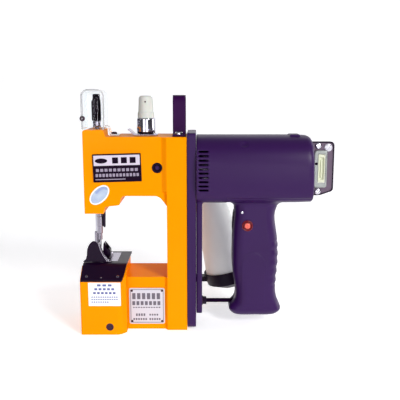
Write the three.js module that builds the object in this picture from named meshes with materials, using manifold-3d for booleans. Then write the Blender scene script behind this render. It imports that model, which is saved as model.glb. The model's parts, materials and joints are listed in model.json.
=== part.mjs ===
// A portable bag closer: a hand-held chain-stitch sewing machine that sews sack mouths shut.
//
// Frame, in millimetres: the origin is the middle of the casting's flat underside, +X runs
// from the needle to the motor's far end, +Y from the front of the machine to its back, and
// +Z up. The needle bar is stored at the top of its stroke.
//
// Train: motor -> pinion and back gear (7 to 1) -> main shaft -> crank and needle bar, and
// main shaft -> toothed belt (1 to 1) -> lower shaft under the needle plate.

import * as THREE from 'three';
import { mergeVertices } from 'three/addons/utils/BufferGeometryUtils.js';
import Module from 'manifold-3d';

const wasm = await Module();
wasm.setup();

// ---------------------------------------------------------------- driving dimensions

const GAP = 0.3;                 // air between two pieces that touch on the real machine
const WALL = 4;                  // casting wall
const HEAD_WALL = 3;
const SHEET = 1.8;               // pressed steel sheet
const SKIN = 2.6;                // moulded plastic wall

const CASTING = { left: -56, right: 51, front: -25, back: 29, top: 206.7 };
const COLUMN = { left: 30.2, front: -29 };
const HEAD = { bossRight: -34.5, bossTop: 213.8, bottom: 126.5 };
const ARM_UNDERSIDE = 145.3;
const LOWER_ARM_TOP = 58;
const LOOPER_BOX = { left: -58.5, right: -15, top: 70.7 };

const MAIN_Z = 172;              // main shaft and motor axis, along X at Y = 0
const LOWER_Z = 30;              // lower shaft axis, along X at Y = 0
const SHAFT_R = 4;
const BUSH_R = 7;                // outside of the shafts' left bushes
const BEARING_R = 10;            // outside of the shafts' right bearings
const RUNNING = 0.1;             // radial running clearance of a plain bearing

const NEEDLE_BAR = { x: -44, y: 0, r: 2.75 };
const PRESSER_BAR = { x: -48.4, y: 9.6, r: 2.5 };
const CRANK_R = 11;              // half the needle bar's stroke
const LINK_LENGTH = 24;
const NEEDLE_PLATE_TOP = 72.8;

const GUIDE = { left: -59.5, right: -13, front: -42.4, crease: -25.5, back: 26.5, lip: 59.4 };
const COVER_BACK = CASTING.front - GAP;

const BELT_COVER = { left: 51.4, right: 60.4, bottom: 1.5, top: 211, halfDepth: 30 };
const BELT = { left: 52.6, right: 57.4, pulleyR: 12, thickness: 1.6 };

const BARREL = { left: 60.8, right: 182.4, halfHeight: 35.7, halfDepth: 36 };
const VENTS = { left: 64.6, right: 72.6, low: 152.6, pitch: 4.4, count: 10, halfWidth: 0.9 };
const LEG = { right: 67, bottom: 15.4, halfDepth: 24 };
const HANDLE = { halfDepth: 19, bottom: 10 };
const TIE_ROD = { z: 23.6, r: 2.5 };
const LOCK_BUTTON = [115, 112.4];
const PANEL = { left: 183, right: 207.5, front: -3, back: -0.8 };

const MODULE_MM = 0.8;           // gear tooth module
const TEETH = { motorPinion: 10, counterWheel: 30, counterPinion: 12, mainGear: 28 };
const GEAR_CENTRES = MODULE_MM * (TEETH.mainGear + TEETH.counterPinion) / 2;
const COUNTER_AXIS = [GEAR_CENTRES, MAIN_Z];
const COUNTER_SHAFT_R = 2.5;
const ROTOR_SHAFT_R = SHAFT_R;

const LOOPER_PIVOT = [-49, 44];
const LEVER_PIVOT = [-39, 166];
const FRONT_PLUG = [20.3, 174.8];
const TENSION = [-2, 178];       // axis of the tension post, on the back cover
const TENSION_POST_R = 2.1;
const PUMP_X = 7.5;
const SPINDLE_R = 2.5;
const CONE = { x: 98.5, y: 66.5, z: 41, tilt: THREE.MathUtils.degToRad(-15), foot: 27 };

// ---------------------------------------------------------------- materials

const finish = (color, roughness, metalness, opacity = 1) => new THREE.MeshStandardMaterial({
  color, roughness, metalness, opacity, transparent: opacity < 1,
});

const ORANGE_PAINT = finish('#f8990d', 0.35, 0.1);
const PURPLE_PLASTIC = finish('#2f1b4a', 0.45, 0);
const BLACK_STEEL = finish('#1b1020', 0.4, 0.5);
const BLACK_PLASTIC = finish('#170d1b', 0.5, 0);
const RUBBER = finish('#1a1518', 0.85, 0);
const CHROME = finish('#d9d9df', 0.12, 1);
const STEEL = finish('#a9a9ae', 0.4, 0.9);
const BRASS = finish('#b5954f', 0.35, 0.9);
const COPPER_WINDING = finish('#9b5a2e', 0.5, 0.6);
const ALUMINIUM = finish('#cfcfd6', 0.35, 0.9);
const CLEAR_PLASTIC = finish('#e6eaec', 0.08, 0, 0.3);
const PUMP_PLASTIC = finish('#d9dbd4', 0.4, 0);
const CREAM_PLASTIC = finish('#e4e0cf', 0.4, 0);
const RED_PLASTIC = finish('#d9543c', 0.3, 0);
const LABEL_BLACK = finish('#1c1220', 0.4, 0);
const THREAD_WHITE = finish('#f0f2ef', 0.9, 0);
const BRACKET_PAINT = finish('#5d4a60', 0.5, 0.4);

// ---------------------------------------------------------------- solids and booleans

// Turns every triangle over when a closed geometry encloses a negative volume.
function facingOut(geometry) {
  const p = geometry.attributes.position;
  const index = geometry.index.array;
  const [a, b, c] = [new THREE.Vector3(), new THREE.Vector3(), new THREE.Vector3()];
  let volume = 0;
  for (let i = 0; i < index.length; i += 3) {
    a.fromBufferAttribute(p, index[i]);
    b.fromBufferAttribute(p, index[i + 1]);
    c.fromBufferAttribute(p, index[i + 2]);
    volume += a.dot(b.cross(c));
  }
  if (volume < 0) index.reverse();
  return geometry;
}

// The closed surface alone: shared corners, no normals and no texture coordinates.
function weld(geometry) {
  const bare = geometry.clone();
  for (const name of Object.keys(bare.attributes)) {
    if (name !== 'position') bare.deleteAttribute(name);
  }
  return facingOut(mergeVertices(bare, 1e-4));
}

function toSolid(geometry) {
  const bare = weld(geometry);
  return new wasm.Manifold(new wasm.Mesh({
    numProp: 3,
    vertProperties: new Float32Array(bare.attributes.position.array),
    triVerts: new Uint32Array(bare.index.array),
  }));
}

function toGeometry(solid) {
  const mesh = solid.getMesh();
  const geometry = new THREE.BufferGeometry();
  geometry.setAttribute('position', new THREE.BufferAttribute(mesh.vertProperties, 3));
  geometry.setIndex(new THREE.BufferAttribute(mesh.triVerts, 1));
  return geometry;
}

const join = (...parts) => toGeometry(parts.map(toSolid).reduce((a, b) => a.add(b)));
const common = (...parts) => toGeometry(parts.map(toSolid).reduce((a, b) => a.intersect(b)));
const cut = (body, ...tools) => toGeometry(
  tools.map(toSolid).reduce((rest, tool) => rest.subtract(tool), toSolid(body)));

// ---------------------------------------------------------------- basic shapes

// A block between its lowest and highest corners.
function block(low, high) {
  const size = high.map((h, i) => h - low[i]);
  return new THREE.BoxGeometry(...size).translate(...low.map((l, i) => l + size[i] / 2));
}

// Stands a shape that was made along +Z on another axis. The shape's own X and Y become the
// other two axes in X, Y, Z order, with X first.
const STAND = {
  x: new THREE.Matrix4().set(0, 0, 1, 0, 1, 0, 0, 0, 0, 1, 0, 0, 0, 0, 0, 1),
  y: new THREE.Matrix4().set(1, 0, 0, 0, 0, 0, -1, 0, 0, 1, 0, 0, 0, 0, 0, 1),
  z: new THREE.Matrix4(),
};

// A closed outline. Each corner is [u, v] or [u, v, radius].
function outline(corners) {
  const shape = new THREE.Shape();
  corners.forEach(([u, v, radius = 0], i) => {
    const corner = new THREE.Vector2(u, v);
    const before = new THREE.Vector2(...corners.at(i - 1).slice(0, 2));
    const after = new THREE.Vector2(...corners[(i + 1) % corners.length].slice(0, 2));
    const start = corner.clone().add(before.sub(corner).setLength(radius));
    const end = corner.clone().add(after.sub(corner).setLength(radius));
    if (i === 0) shape.moveTo(start.x, start.y);
    else shape.lineTo(start.x, start.y);
    if (radius > 0) shape.quadraticCurveTo(u, v, end.x, end.y);
  });
  return shape;
}

// An outline pushed along an axis, from one place on that axis to another.
function prism(axis, corners, from, to, curveSegments = 4) {
  const shape = corners instanceof THREE.Shape ? corners : outline(corners);
  const body = new THREE.ExtrudeGeometry(shape, {
    depth: to - from, bevelEnabled: false, curveSegments,
  });
  if (axis === 'y') return body.applyMatrix4(STAND.y).translate(0, to, 0);
  return body.translate(0, 0, from).applyMatrix4(STAND[axis]);
}

// A body turned about an axis through (a, b). The profile is a list of [place, radius].
function turned(axis, [a, b], profile, sides = 24) {
  const points = profile.map(([place, radius]) => new THREE.Vector2(radius, place));
  const body = new THREE.LatheGeometry(points, sides).rotateX(Math.PI / 2);
  body.applyMatrix4(STAND[axis]);
  if (axis === 'y') body.scale(1, -1, 1);
  const place = { x: [0, a, b], y: [a, 0, b], z: [a, b, 0] }[axis];
  return weld(body.translate(...place));
}

// A round bar, and a ring with a hole through it.
const bar = (axis, centre, radius, from, to, sides = 24) =>
  turned(axis, centre, [[from, 0], [from, radius], [to, radius], [to, 0]], sides);
const ring = (axis, centre, inner, outer, from, to, sides = 24) => turned(axis, centre, [
  [from, inner], [from, outer], [to, outer], [to, inner], [from, inner],
], sides);

// ---------------------------------------------------------------- the scene

const machine = new THREE.Group();

function piece(name, geometry, material, group = machine) {
  const mesh = new THREE.Mesh(weld(geometry), material);
  mesh.name = name;
  group.add(mesh);
  return mesh;
}

// ---------------------------------------------------------------- casting

const column = (z0, z1, armEdge) => prism('z', [
  [armEdge, CASTING.front], [COLUMN.left, COLUMN.front], [CASTING.right, COLUMN.front],
  [CASTING.right, CASTING.back], [armEdge, CASTING.back],
], z0, z1);

// The C that the mechanism runs in: head, arm, column and lower arm, open at the back.
// Inset shrinks it all round, for the plate that closes it.
function mechanismSpace(inset) {
  const wallLeft = CASTING.left + HEAD_WALL + inset;
  const wallRight = CASTING.right - 5 - inset;
  return outline([
    [wallLeft, 131 + inset], [-38 - inset, 131 + inset], [-36.5 - inset, 140 + inset],
    [-21 - inset * 0.5, 150 + inset], [COLUMN.left - 1 + inset, 150 + inset, 6],
    [COLUMN.left + WALL + inset, 140], [COLUMN.left + WALL + inset, 52 - inset],
    [-11 + inset, 52 - inset], [-11 + inset, 6 + inset], [wallRight, 6 + inset],
    [wallRight, 200 - inset, 4], [-14 + inset * 0.5, 200 - inset],
    [-22 + inset * 0.5, 189.5 - inset],
    [wallLeft, 189.5 - inset],
  ]);
}

function mainCasting() {
  const upper = prism('y', [
    [CASTING.left, HEAD.bottom], [-36.3, HEAD.bottom], [-34.3, 133.8], [-19.8, 135.6],
    [-16.5, ARM_UNDERSIDE, 3], [22, ARM_UNDERSIDE, 5], [COLUMN.left + 1, 133],
    [CASTING.right, 133], [CASTING.right, CASTING.top], [-32.8, CASTING.top, 2],
    [HEAD.bossRight, HEAD.bossTop, 2], [CASTING.left, HEAD.bossTop, 3],
  ], CASTING.front, CASTING.back);
  const lowerArm = block([-18, CASTING.front, 0], [COLUMN.left + 1, CASTING.back, LOWER_ARM_TOP]);
  const looperBox = block([LOOPER_BOX.left, CASTING.front, 0],
    [LOOPER_BOX.right, CASTING.back, LOOPER_BOX.top]);
  const shell = cut(
    join(upper, lowerArm, looperBox, column(0, CASTING.top, COLUMN.left),
      column(150, CASTING.top, 25), column(0, LOWER_ARM_TOP, 27.6)),
    prism('y', mechanismSpace(0), CASTING.front + 6, CASTING.back + 1),
    // looper space: open to the front, to the needle plate above and to the lower arm
    block([-53.5, CASTING.front - 1, 8], [-22, CASTING.back - 5, 62]),
    block([-53.5, -12.5, 60], [-26.5, 18.5, LOOPER_BOX.top + 1]),
  );
  // webs that carry the left ends of both shafts
  const webs = join(
    shell,
    block([-31, CASTING.front + 5, 155], [-25, 24, 189.8]),
    block([-22.2, CASTING.front + 5, 7.5], [-10.8, 24, 52.2]),
    // the looper's pivot post, on the back wall
    bar('y', LOOPER_PIVOT, 4, 8.3, 25, 16),
  );
  return cut(
    webs,
    bar('x', [0, MAIN_Z], BUSH_R + GAP, -33, -23),
    bar('x', [0, MAIN_Z], BEARING_R + GAP, 45, 52),
    bar('x', [0, LOWER_Z], BUSH_R + GAP, -24, -9),
    bar('x', [0, LOWER_Z], BEARING_R + GAP, 45, 52),
    // needle bar: clearance for its collar above, guide holes above and below
    bar('z', [NEEDLE_BAR.x, NEEDLE_BAR.y], 6.6, 193, HEAD.bossTop + 1),
    bar('z', [NEEDLE_BAR.x, NEEDLE_BAR.y], NEEDLE_BAR.r + RUNNING, 120, 194),
    bar('z', [PRESSER_BAR.x, PRESSER_BAR.y], PRESSER_BAR.r + RUNNING, 120, 140),
    // oil reservoir and the blind seat of the front plug
    bar('z', [PUMP_X, 0], 6.3, 199, CASTING.top + 1),
    bar('y', FRONT_PLUG, 5.6, CASTING.front - 5, CASTING.front + 2.5),
  );
}

function castingBackCover() {
  const plate = prism('y', mechanismSpace(GAP), CASTING.back - 3.2, CASTING.back - 0.4);
  return cut(plate,
    bar('y', LEVER_PIVOT, 3.4, CASTING.back - 4, CASTING.back + 1),
    bar('y', TENSION, TENSION_POST_R + GAP, CASTING.back - 4, CASTING.back + 1));
}

function looperCover() {
  const footprint = [
    [-60.5, -42, 2], [-19, -42, 4], [-13, -35], [-13, COVER_BACK], [-60.5, COVER_BACK],
  ];
  const slope = [[-43, -1], [-43, 56.5], [COVER_BACK, 70.5], [COVER_BACK, -1]];
  const body = common(prism('z', footprint, 0, 72), prism('x', slope, -61, -12));
  const hollow = common(
    block([-57.5, -39, 3], [-19, -20, 66]),
    prism('x', [[-44, 0], [-44, 51.2], [-20, 70.2], [-20, 0]], -61, -12),
  );
  return cut(body, hollow);
}

function needlePlate() {
  return cut(
    block([-56, -15, NEEDLE_PLATE_TOP - SHEET], [-24, 21, NEEDLE_PLATE_TOP]),
    bar('z', [NEEDLE_BAR.x, NEEDLE_BAR.y], 2.4, 70, 74, 16),
    block([-39.4, -12.3, 70], [-33.6, 15.7, 74]),
  );
}

function bagGuide() {
  const top = NEEDLE_PLATE_TOP;
  const under = top - SHEET;
  const bent = prism('x', [
    [GUIDE.back, under], [GUIDE.crease, under], [GUIDE.front, GUIDE.lip - SHEET],
    [GUIDE.front, GUIDE.lip], [GUIDE.crease, top], [GUIDE.back, top],
  ], GUIDE.left, GUIDE.right);
  const trimmed = common(bent, prism('z', [
    [GUIDE.left, GUIDE.front - 1], [GUIDE.right - 3, GUIDE.front - 1, 4],
    [GUIDE.right, GUIDE.crease, 3], [GUIDE.right, GUIDE.back + 1], [GUIDE.left, GUIDE.back + 1],
  ], 50, 80));
  return cut(trimmed, block([-56 - GAP, -15 - GAP, 60], [-24 + GAP, 21 + GAP, 80]));
}

function footGuard() {
  const low = NEEDLE_PLATE_TOP + GAP;
  const bell = [
    [-59.3, low], [-57.5, 76], [-55.9, 81], [-55.4, 87.6, 2], [-52.7, 93, 2], [-49.2, 95.9],
    [-46.4, 95.9, 1], [-42.2, 90.6, 2], [-40.5, 84.7], [-37.8, 78.8], [-34.5, low],
  ];
  const rim = [
    [-46.4, 95.9, 1], [-42.2, 90.6, 2], [-40.5, 84.7], [-37.8, 78.8], [-34.5, low],
    [-36.1, low], [-39.1, 78.4], [-41.7, 84.4], [-43.3, 90.2], [-46.7, 94.2],
  ];
  return join(prism('y', bell, -20.5, -18.9), prism('y', rim, -19.5, -14));
}

// ---------------------------------------------------------------- needle drive

function needleBarCover() {
  const plan = (inset) => [
    [-58 + inset, -24 + inset, 7], [-34.4 - inset, -24 + inset, 7],
    [-34.4 - inset, 24 - inset, 7], [-58 + inset, 24 - inset, 7],
  ];
  const front = (inset) => [
    [-58 + inset, 200], [-34.4 - inset, 200], [-34.4 - inset, 255 - inset, 6],
    [-58 + inset, 255 - inset, 6],
  ];
  const dome = common(prism('z', plan(0), HEAD.bossTop + GAP, 256), prism('y', front(0), -30, 30));
  const hollow = common(prism('z', plan(1.6), 210, 256), prism('y', front(1.6), -30, 30));
  const foot = join(
    block([-35.2, -6, 216], [-30.2, 6, 217.6]),
    block([-31.8, -6, CASTING.top + GAP], [-30.2, 6, 217]),
    block([-31.8, -6, CASTING.top + GAP], [-19.5, 6, CASTING.top + 1.8]),
  );
  return join(cut(dome, hollow), foot);
}

function needleBar() {
  const axis = [NEEDLE_BAR.x, NEEDLE_BAR.y];
  const rod = turned('z', axis, [
    [100, 0], [100, NEEDLE_BAR.r], [215.2, NEEDLE_BAR.r], [215.2, 5], [222, 5], [222, 3.2],
    [248, 3.2], [248, 0],
  ]);
  const clamp = block([-47.6, -4.5, 108], [-41.4, 4.5, 119]);
  const driveBlock = block([-49, -4.5, 155], [-41.2, 4.5, 163]);
  const needleSocket = bar('z', axis, 1.3, 99, 106, 12);
  return cut(join(rod, clamp, driveBlock), needleSocket);
}

function needle() {
  const axis = [NEEDLE_BAR.x, NEEDLE_BAR.y];
  return turned('z', axis, [[84, 0], [87, 0.9], [105.5, 0.9], [105.5, 0]], 12);
}

function needleBarCap() {
  return turned('z', [NEEDLE_BAR.x, NEEDLE_BAR.y], [
    [222 + GAP, 3.5], [222 + GAP, 5.8], [243, 5.8], [244.5, 4.2], [250.5, 4.2], [250.5, 0],
    [248 + GAP, 0], [248 + GAP, 3.5], [222 + GAP, 3.5],
  ]);
}

const CRANK_PIN = [0, MAIN_Z + CRANK_R];

function crankDisc() {
  return join(
    ring('x', [0, MAIN_Z], SHAFT_R + GAP, 14.6, -38, -32.6, 32),
    bar('x', CRANK_PIN, 2, -40.9, -37, 16),
  );
}

function connectingLink() {
  const low = [0, MAIN_Z + CRANK_R - LINK_LENGTH];
  return cut(
    join(bar('x', CRANK_PIN, 4, -40.8, -38.4), bar('x', low, 3.5, -40.8, -38.4),
      block([-40.8, -2.2, low[1]], [-38.4, 2.2, CRANK_PIN[1]])),
    bar('x', CRANK_PIN, 2 + RUNNING, -42, -37, 16),
    bar('x', low, 1.6, -42, -37, 16),
  );
}

function presserBar() {
  const axis = [PRESSER_BAR.x, PRESSER_BAR.y];
  return join(
    bar('z', axis, PRESSER_BAR.r, 92, 178, 20),
    bar('z', axis, 4.2, 170.5, 174.5, 20),
    block([PRESSER_BAR.x, 11, 170.5], [PRESSER_BAR.x + 3.4, 20, 174.5]),
  );
}

// The spring sits between the bar's collar and the top of the head.
function presserSpring() {
  return ring('z', [PRESSER_BAR.x, PRESSER_BAR.y], 2.9, 4.1, 174.8, 189.2, 16);
}

function presserFoot() {
  const soleLow = NEEDLE_PLATE_TOP + 1;
  const sole = cut(
    prism('z', [[-52, -13, 2], [-33, -13, 2], [-33, 15], [-52, 15]], soleLow, soleLow + 2.4),
    block([-47.2, -4, 70], [-40.4, 4, 80]),
  );
  const holder = cut(
    block([-52, 5.8, soleLow], [-44.8, 13.4, 100]),
    bar('z', [PRESSER_BAR.x, PRESSER_BAR.y], PRESSER_BAR.r + GAP, 91.7, 101),
  );
  const toe = prism('y', [
    [-39.8, soleLow], [-39.8, 89], [-38.8, 91], [-37.6, 87], [-36.9, 83], [-33.6, 82.4],
    [-33, 76], [-33, soleLow],
  ], -5, 2);
  return join(sole, holder, toe);
}

function liftLever() {
  const [x, z] = LEVER_PIVOT;
  return join(
    bar('y', LEVER_PIVOT, 3.2, 15.6, 34, 20),
    // inner finger under the presser bar's stud
    block([x - 10, 15.6, z + 0.2], [x, 19.6, z + 3.4]),
    // outer handle behind the cover
    prism('y', [
      [x - 4, z - 4, 2], [x + 26, z - 6, 3], [x + 26, z + 2, 3], [x - 4, z + 4, 2],
    ], 30, 34),
  );
}

// ---------------------------------------------------------------- shafts, belt and looper

function mainShaft() {
  return bar('x', [0, MAIN_Z], SHAFT_R, -38, 76);
}

function lowerShaft() {
  return join(bar('x', [0, LOWER_Z], SHAFT_R, -24, 58),
    bar('x', [3, LOWER_Z], 8.5, -31, -24, 20));
}

function pulley(z) {
  const body = ring('x', [0, z], SHAFT_R + GAP, BELT.pulleyR, BELT.left, BELT.right);
  const flangeR = BELT.pulleyR + 1.2;
  const flange = ring('x', [0, z], SHAFT_R + GAP, flangeR, BELT.left - 0.9, BELT.left);
  return join(body, flange);
}

function timingBelt() {
  const loop = (radius) => {
    const shape = new THREE.Shape();
    shape.absarc(0, MAIN_Z, radius, 0, Math.PI, false);
    shape.absarc(0, LOWER_Z, radius, Math.PI, 2 * Math.PI, false);
    return shape;
  };
  const inner = BELT.pulleyR + GAP;
  const body = loop(inner + BELT.thickness);
  body.holes.push(loop(inner));
  return prism('x', body, BELT.left + 0.2, BELT.right, 10);
}

function looper() {
  const arm = prism('y', [
    [-51.5, 44], [-47, 44], [-46.6, 58], [-45.6, 63.4], [-50.4, 63.4], [-51.4, 60],
  ], -5.2, -2.4);
  return join(bar('y', LOOPER_PIVOT, 4, -6, 8, 16), arm);
}

function feedDog() {
  const teeth = [];
  for (let i = 0; i < 6; i += 1) {
    const y = -8 + i * 3.2;
    teeth.push([y, NEEDLE_PLATE_TOP - 0.9], [y + 1.6, NEEDLE_PLATE_TOP + 0.5]);
  }
  return join(
    prism('x', [[-8, 64], ...teeth, [11.2, NEEDLE_PLATE_TOP - 0.9], [11.2, 64]], -38.6, -34.4),
    block([-38.6, -4, 52], [-34.4, 6, 65]),
  );
}

// ---------------------------------------------------------------- gears and motor

// A spur gear on an axis along X, with straight-flanked teeth and a little backlash.
function gear(teeth, [y, z], from, to, bore, turn = 0) {
  const pitch = MODULE_MM * teeth / 2;
  const [root, tip] = [pitch - 1.2 * MODULE_MM, pitch + 0.9 * MODULE_MM];
  const step = 2 * Math.PI / teeth;
  const points = [];
  for (let i = 0; i < teeth; i += 1) {
    for (const [radius, share] of [[root, -0.3], [tip, -0.11], [tip, 0.11], [root, 0.3]]) {
      const angle = turn + step * (i + share);
      points.push(new THREE.Vector2(y + radius * Math.cos(angle), z + radius * Math.sin(angle)));
    }
  }
  const shape = new THREE.Shape(points);
  if (bore > 0) {
    const hole = new THREE.Path();
    hole.absarc(y, z, bore, 0, 2 * Math.PI, true);
    shape.holes.push(hole);
  }
  return prism('x', shape, from, to, 10);
}

function mainGear() {
  return gear(TEETH.mainGear, [0, MAIN_Z], 68, 74, SHAFT_R + GAP);
}

// Wheel, pinion and their shaft turn as one. A gap of each faces a tooth of its mate.
function counterGear() {
  const halfPinionStep = Math.PI / TEETH.counterPinion;
  const halfWheelStep = Math.PI / TEETH.counterWheel;
  return join(
    bar('x', COUNTER_AXIS, COUNTER_SHAFT_R, 62.2, 89, 16),
    gear(TEETH.counterPinion, COUNTER_AXIS, 67.6, 74.4, 0, Math.PI - halfPinionStep),
    gear(TEETH.counterWheel, COUNTER_AXIS, 79, 84, 0, Math.PI - halfWheelStep),
  );
}

function motorRotor() {
  const shaft = turned('x', [0, MAIN_Z], [
    [84, 0], [84, ROTOR_SHAFT_R], [100, ROTOR_SHAFT_R], [102, 16], [146, 16], [148, 6],
    [150, 9.5], [158, 9.5], [159, ROTOR_SHAFT_R], [171, ROTOR_SHAFT_R], [171, 0],
  ], 28);
  return join(shaft, gear(TEETH.motorPinion, [0, MAIN_Z], 78.6, 84.4, 0));
}

function motorFan() {
  const blades = [];
  for (let i = 0; i < 7; i += 1) {
    const blade = block([164.4, 7, -0.9], [170.4, 27, 0.9]);
    blades.push(blade.rotateX(i * 2 * Math.PI / 7).translate(0, 0, MAIN_Z));
  }
  return join(
    ring('x', [0, MAIN_Z], ROTOR_SHAFT_R + GAP, 9, 163, 170.4),
    ring('x', [0, MAIN_Z], 8, 28, 163, 164.8, 28),
    ...blades,
  );
}

function motorStator() {
  return ring('x', [0, MAIN_Z], 17.2, 32, 102, 146, 32);
}

// Bulkhead between gears and motor, with the seats of the rotor and the counter shaft.
function motorBulkhead() {
  return cut(
    bar('x', [0, MAIN_Z], 32.4, 86, 90, 32),
    bar('x', [0, MAIN_Z], BUSH_R + GAP, 85, 91),
    bar('x', COUNTER_AXIS, COUNTER_SHAFT_R + RUNNING, 85, 91, 16),
  );
}

function brushHolder() {
  return cut(
    join(ring('x', [0, MAIN_Z], 11, 31, 152, 156, 28),
      block([150.5, -25, MAIN_Z - 4], [157.5, -11.5, MAIN_Z + 4]),
      block([150.5, 11.5, MAIN_Z - 4], [157.5, 25, MAIN_Z + 4])),
    bar('x', [0, MAIN_Z], 10.4, 150, 158, 28),
  );
}

// ---------------------------------------------------------------- motor housing and handle

// Barrel section: a rounded square, flattened a little at the top and the bottom.
function barrelSection(inset) {
  const half = { y: BARREL.halfDepth - inset, z: BARREL.halfHeight - inset };
  const points = [];
  const SIDES = 36;
  const SQUARENESS = 2.5;
  const bulge = (value) => Math.sign(value) * Math.abs(value) ** (2 / SQUARENESS);
  for (let i = 0; i < SIDES; i += 1) {
    const angle = 2 * Math.PI * (i + 0.5) / SIDES;
    points.push(new THREE.Vector2(
      half.y * bulge(Math.cos(angle)), MAIN_Z + half.z * bulge(Math.sin(angle))));
  }
  return new THREE.Shape(points);
}

function barrelBody(inset) {
  const side = (across) => [
    [BARREL.left - 5 + inset, -across], [BARREL.right - inset, -across, 12],
    [BARREL.right - inset, across, 12], [BARREL.left - 5 + inset, across],
  ];
  const front = side(BARREL.halfHeight - inset).map(([x, z, r]) => [x, MAIN_Z + z, r]);
  const start = BARREL.left + inset;
  return common(
    prism('x', barrelSection(inset), start, BARREL.right - inset),
    prism('y', front, -40, 40),
    prism('z', side(BARREL.halfDepth - inset), 120, 220),
  );
}

// Pistol handle seen from the front: a palm swell at the right and a flared foot.
function handleOutline(inset) {
  const low = HANDLE.bottom + inset;
  return [
    [100 + inset, 150], [101.8 + inset, 125, 6], [99.8 + inset, 92, 8], [99.9 + inset, 64, 8],
    [103.4 + inset, 36, 6], [102.6 + inset, 27, 3], [96.2 + inset, 19.4, 2], [98 + inset, 14, 2],
    [107 + inset, low, 3], [142 - inset, low, 3], [151 - inset, 14, 3], [153.4 - inset, 19, 2],
    [149 - inset, 28, 4], [146.8 - inset, 40, 6], [149.4 - inset, 81, 12], [144.8 - inset, 119, 6],
    [148.5 - inset, 134, 3], [150 - inset, 150],
  ];
}

function handleBody(inset) {
  const half = HANDLE.halfDepth - inset;
  const [left, right] = [95 + inset, 154 - inset];
  return common(
    prism('y', handleOutline(inset), -half, half),
    prism('z', [[left, -half, 9], [right, -half, 11], [right, half, 11], [left, half, 9]], 0, 160),
  );
}

function housingSolid() {
  const leg = prism('x', [
    [-LEG.halfDepth, LEG.bottom, 6], [LEG.halfDepth, LEG.bottom, 6], [LEG.halfDepth, 160],
    [-LEG.halfDepth, 160],
  ], BARREL.left, LEG.right);
  return join(barrelBody(0), leg, handleBody(0));
}

function ventSlots() {
  const { left, right, low, pitch, count, halfWidth } = VENTS;
  const slots = [];
  for (let i = 0; i < count; i += 1) {
    const z = low + i * pitch;
    slots.push(block([left, -45, z - halfWidth], [right, -22, z + halfWidth]));
  }
  return slots;
}

// The whole housing, hollow inside, before it is parted into its front and back shells.
function housingShell() {
  const inside = join(
    barrelBody(SKIN),
    common(handleBody(SKIN), block([90, -30, HANDLE.bottom + SKIN], [160, 30, 150])),
  );
  return cut(
    housingSolid(),
    inside,
    bar('x', [0, MAIN_Z], 8, 60, 64),
    bar('x', COUNTER_AXIS, 5 + GAP, 60, 64, 20),
    bar('x', [0, TIE_ROD.z], TIE_ROD.r + GAP, 60, 106, 16),
    // the trigger's window in the handle's left side
    block([95, -7.4, 95.2], [106, 7.4, 126.8]),
  );
}

function housingFront() {
  return cut(
    common(housingShell(), block([50, -50, 0], [200, -GAP / 2, 230])),
    ...ventSlots(),
    bar('y', LOCK_BUTTON, 4.9, -30, -5),
  );
}

function housingBack() {
  return common(housingShell(), block([50, GAP / 2, 0], [200, 50, 230]));
}

function beltCover() {
  const { left, right, bottom, top, halfDepth } = BELT_COVER;
  const plan = (inset) => [
    [-halfDepth + inset, bottom + inset, 9], [halfDepth - inset, bottom + inset, 9],
    [halfDepth - inset, top - inset, 3], [-halfDepth + inset, top - inset, 3],
  ];
  const boss = bar('x', COUNTER_AXIS, 5, right - 3, 64.4, 20);
  return cut(
    join(cut(prism('x', plan(0), left, right), prism('x', plan(2), left - 1, right - 2)), boss),
    bar('x', [0, MAIN_Z], SHAFT_R + 0.8, 50, 62),
    bar('x', COUNTER_AXIS, COUNTER_SHAFT_R + RUNNING, 61.5, 66, 16),
  );
}

function tieRod() {
  return join(
    bar('x', [0, TIE_ROD.z], TIE_ROD.r, LEG.right - 4, 104, 16),
    bar('x', [0, TIE_ROD.z], 4.5, LEG.right + GAP, LEG.right + 5, 6),
  );
}

function trigger() {
  return join(
    prism('y', [
      [100.4, 96, 2], [99.2, 110, 6], [100.8, 126, 2], [106, 126], [106, 122], [110, 122],
      [110, 100], [106, 100], [106, 96],
    ], -7, 7),
    block([109, -8.5, 97], [111, 8.5, 125]),
  );
}

function triggerSwitch() {
  return join(block([120, -8, 96], [133, 8, 124]), block([117, -2, 108], [120.5, 2, 112]));
}

function lockButton() {
  return turned('y', LOCK_BUTTON, [
    [-20.8, 0], [-20.8, 3.4], [-20, 4.4], [-15.9, 4.4], [-15.9, 6], [-13.4, 6], [-13.4, 0],
  ], 24);
}

// ---------------------------------------------------------------- motor end panel

function endBracket() {
  const panel = prism('y', [
    [PANEL.left, 142.5], [193, 142.5, 3], [PANEL.right, 147.5, 3], [PANEL.right, 200.4, 5],
    [PANEL.left, 200.4],
  ], PANEL.front, PANEL.back);
  const flange = block([PANEL.left, PANEL.front, 150], [PANEL.left + 2.2, 20, 194]);
  return cut(join(panel, flange), block([190, -5, 155.5], [198.8, 5, 187.5]));
}

function inletBezel() {
  const ringOutline = outline([[186.4, 151, 3], [200, 151, 3], [200, 191, 3], [186.4, 191, 3]]);
  ringOutline.holes.push(outline([
    [190.4, 156, 1], [198.4, 156, 1], [198.4, 187, 1], [190.4, 187, 1],
  ]));
  return prism('y', ringOutline, PANEL.front - 2.3, PANEL.front - GAP);
}

function inletInsert() {
  return cut(block([190.7, -4, 156.3], [198.1, 16, 186.7]),
    block([191.9, -5, 158], [196.9, 10, 185]));
}

// ---------------------------------------------------------------- top fittings

function hangerBail() {
  const top = 249;
  const z = CASTING.top + GAP;
  return prism('x', [
    [-24, z], [-11, z], [-11, top - SHEET - 1, 4], [11, top - SHEET - 1, 4], [11, z], [24, z],
    [24, z + 2.8], [13.8, z + 2.8], [13.8, top, 7], [-13.8, top, 7], [-13.8, z + 2.8],
    [-24, z + 2.8],
  ], 36.4, 49.6);
}

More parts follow.
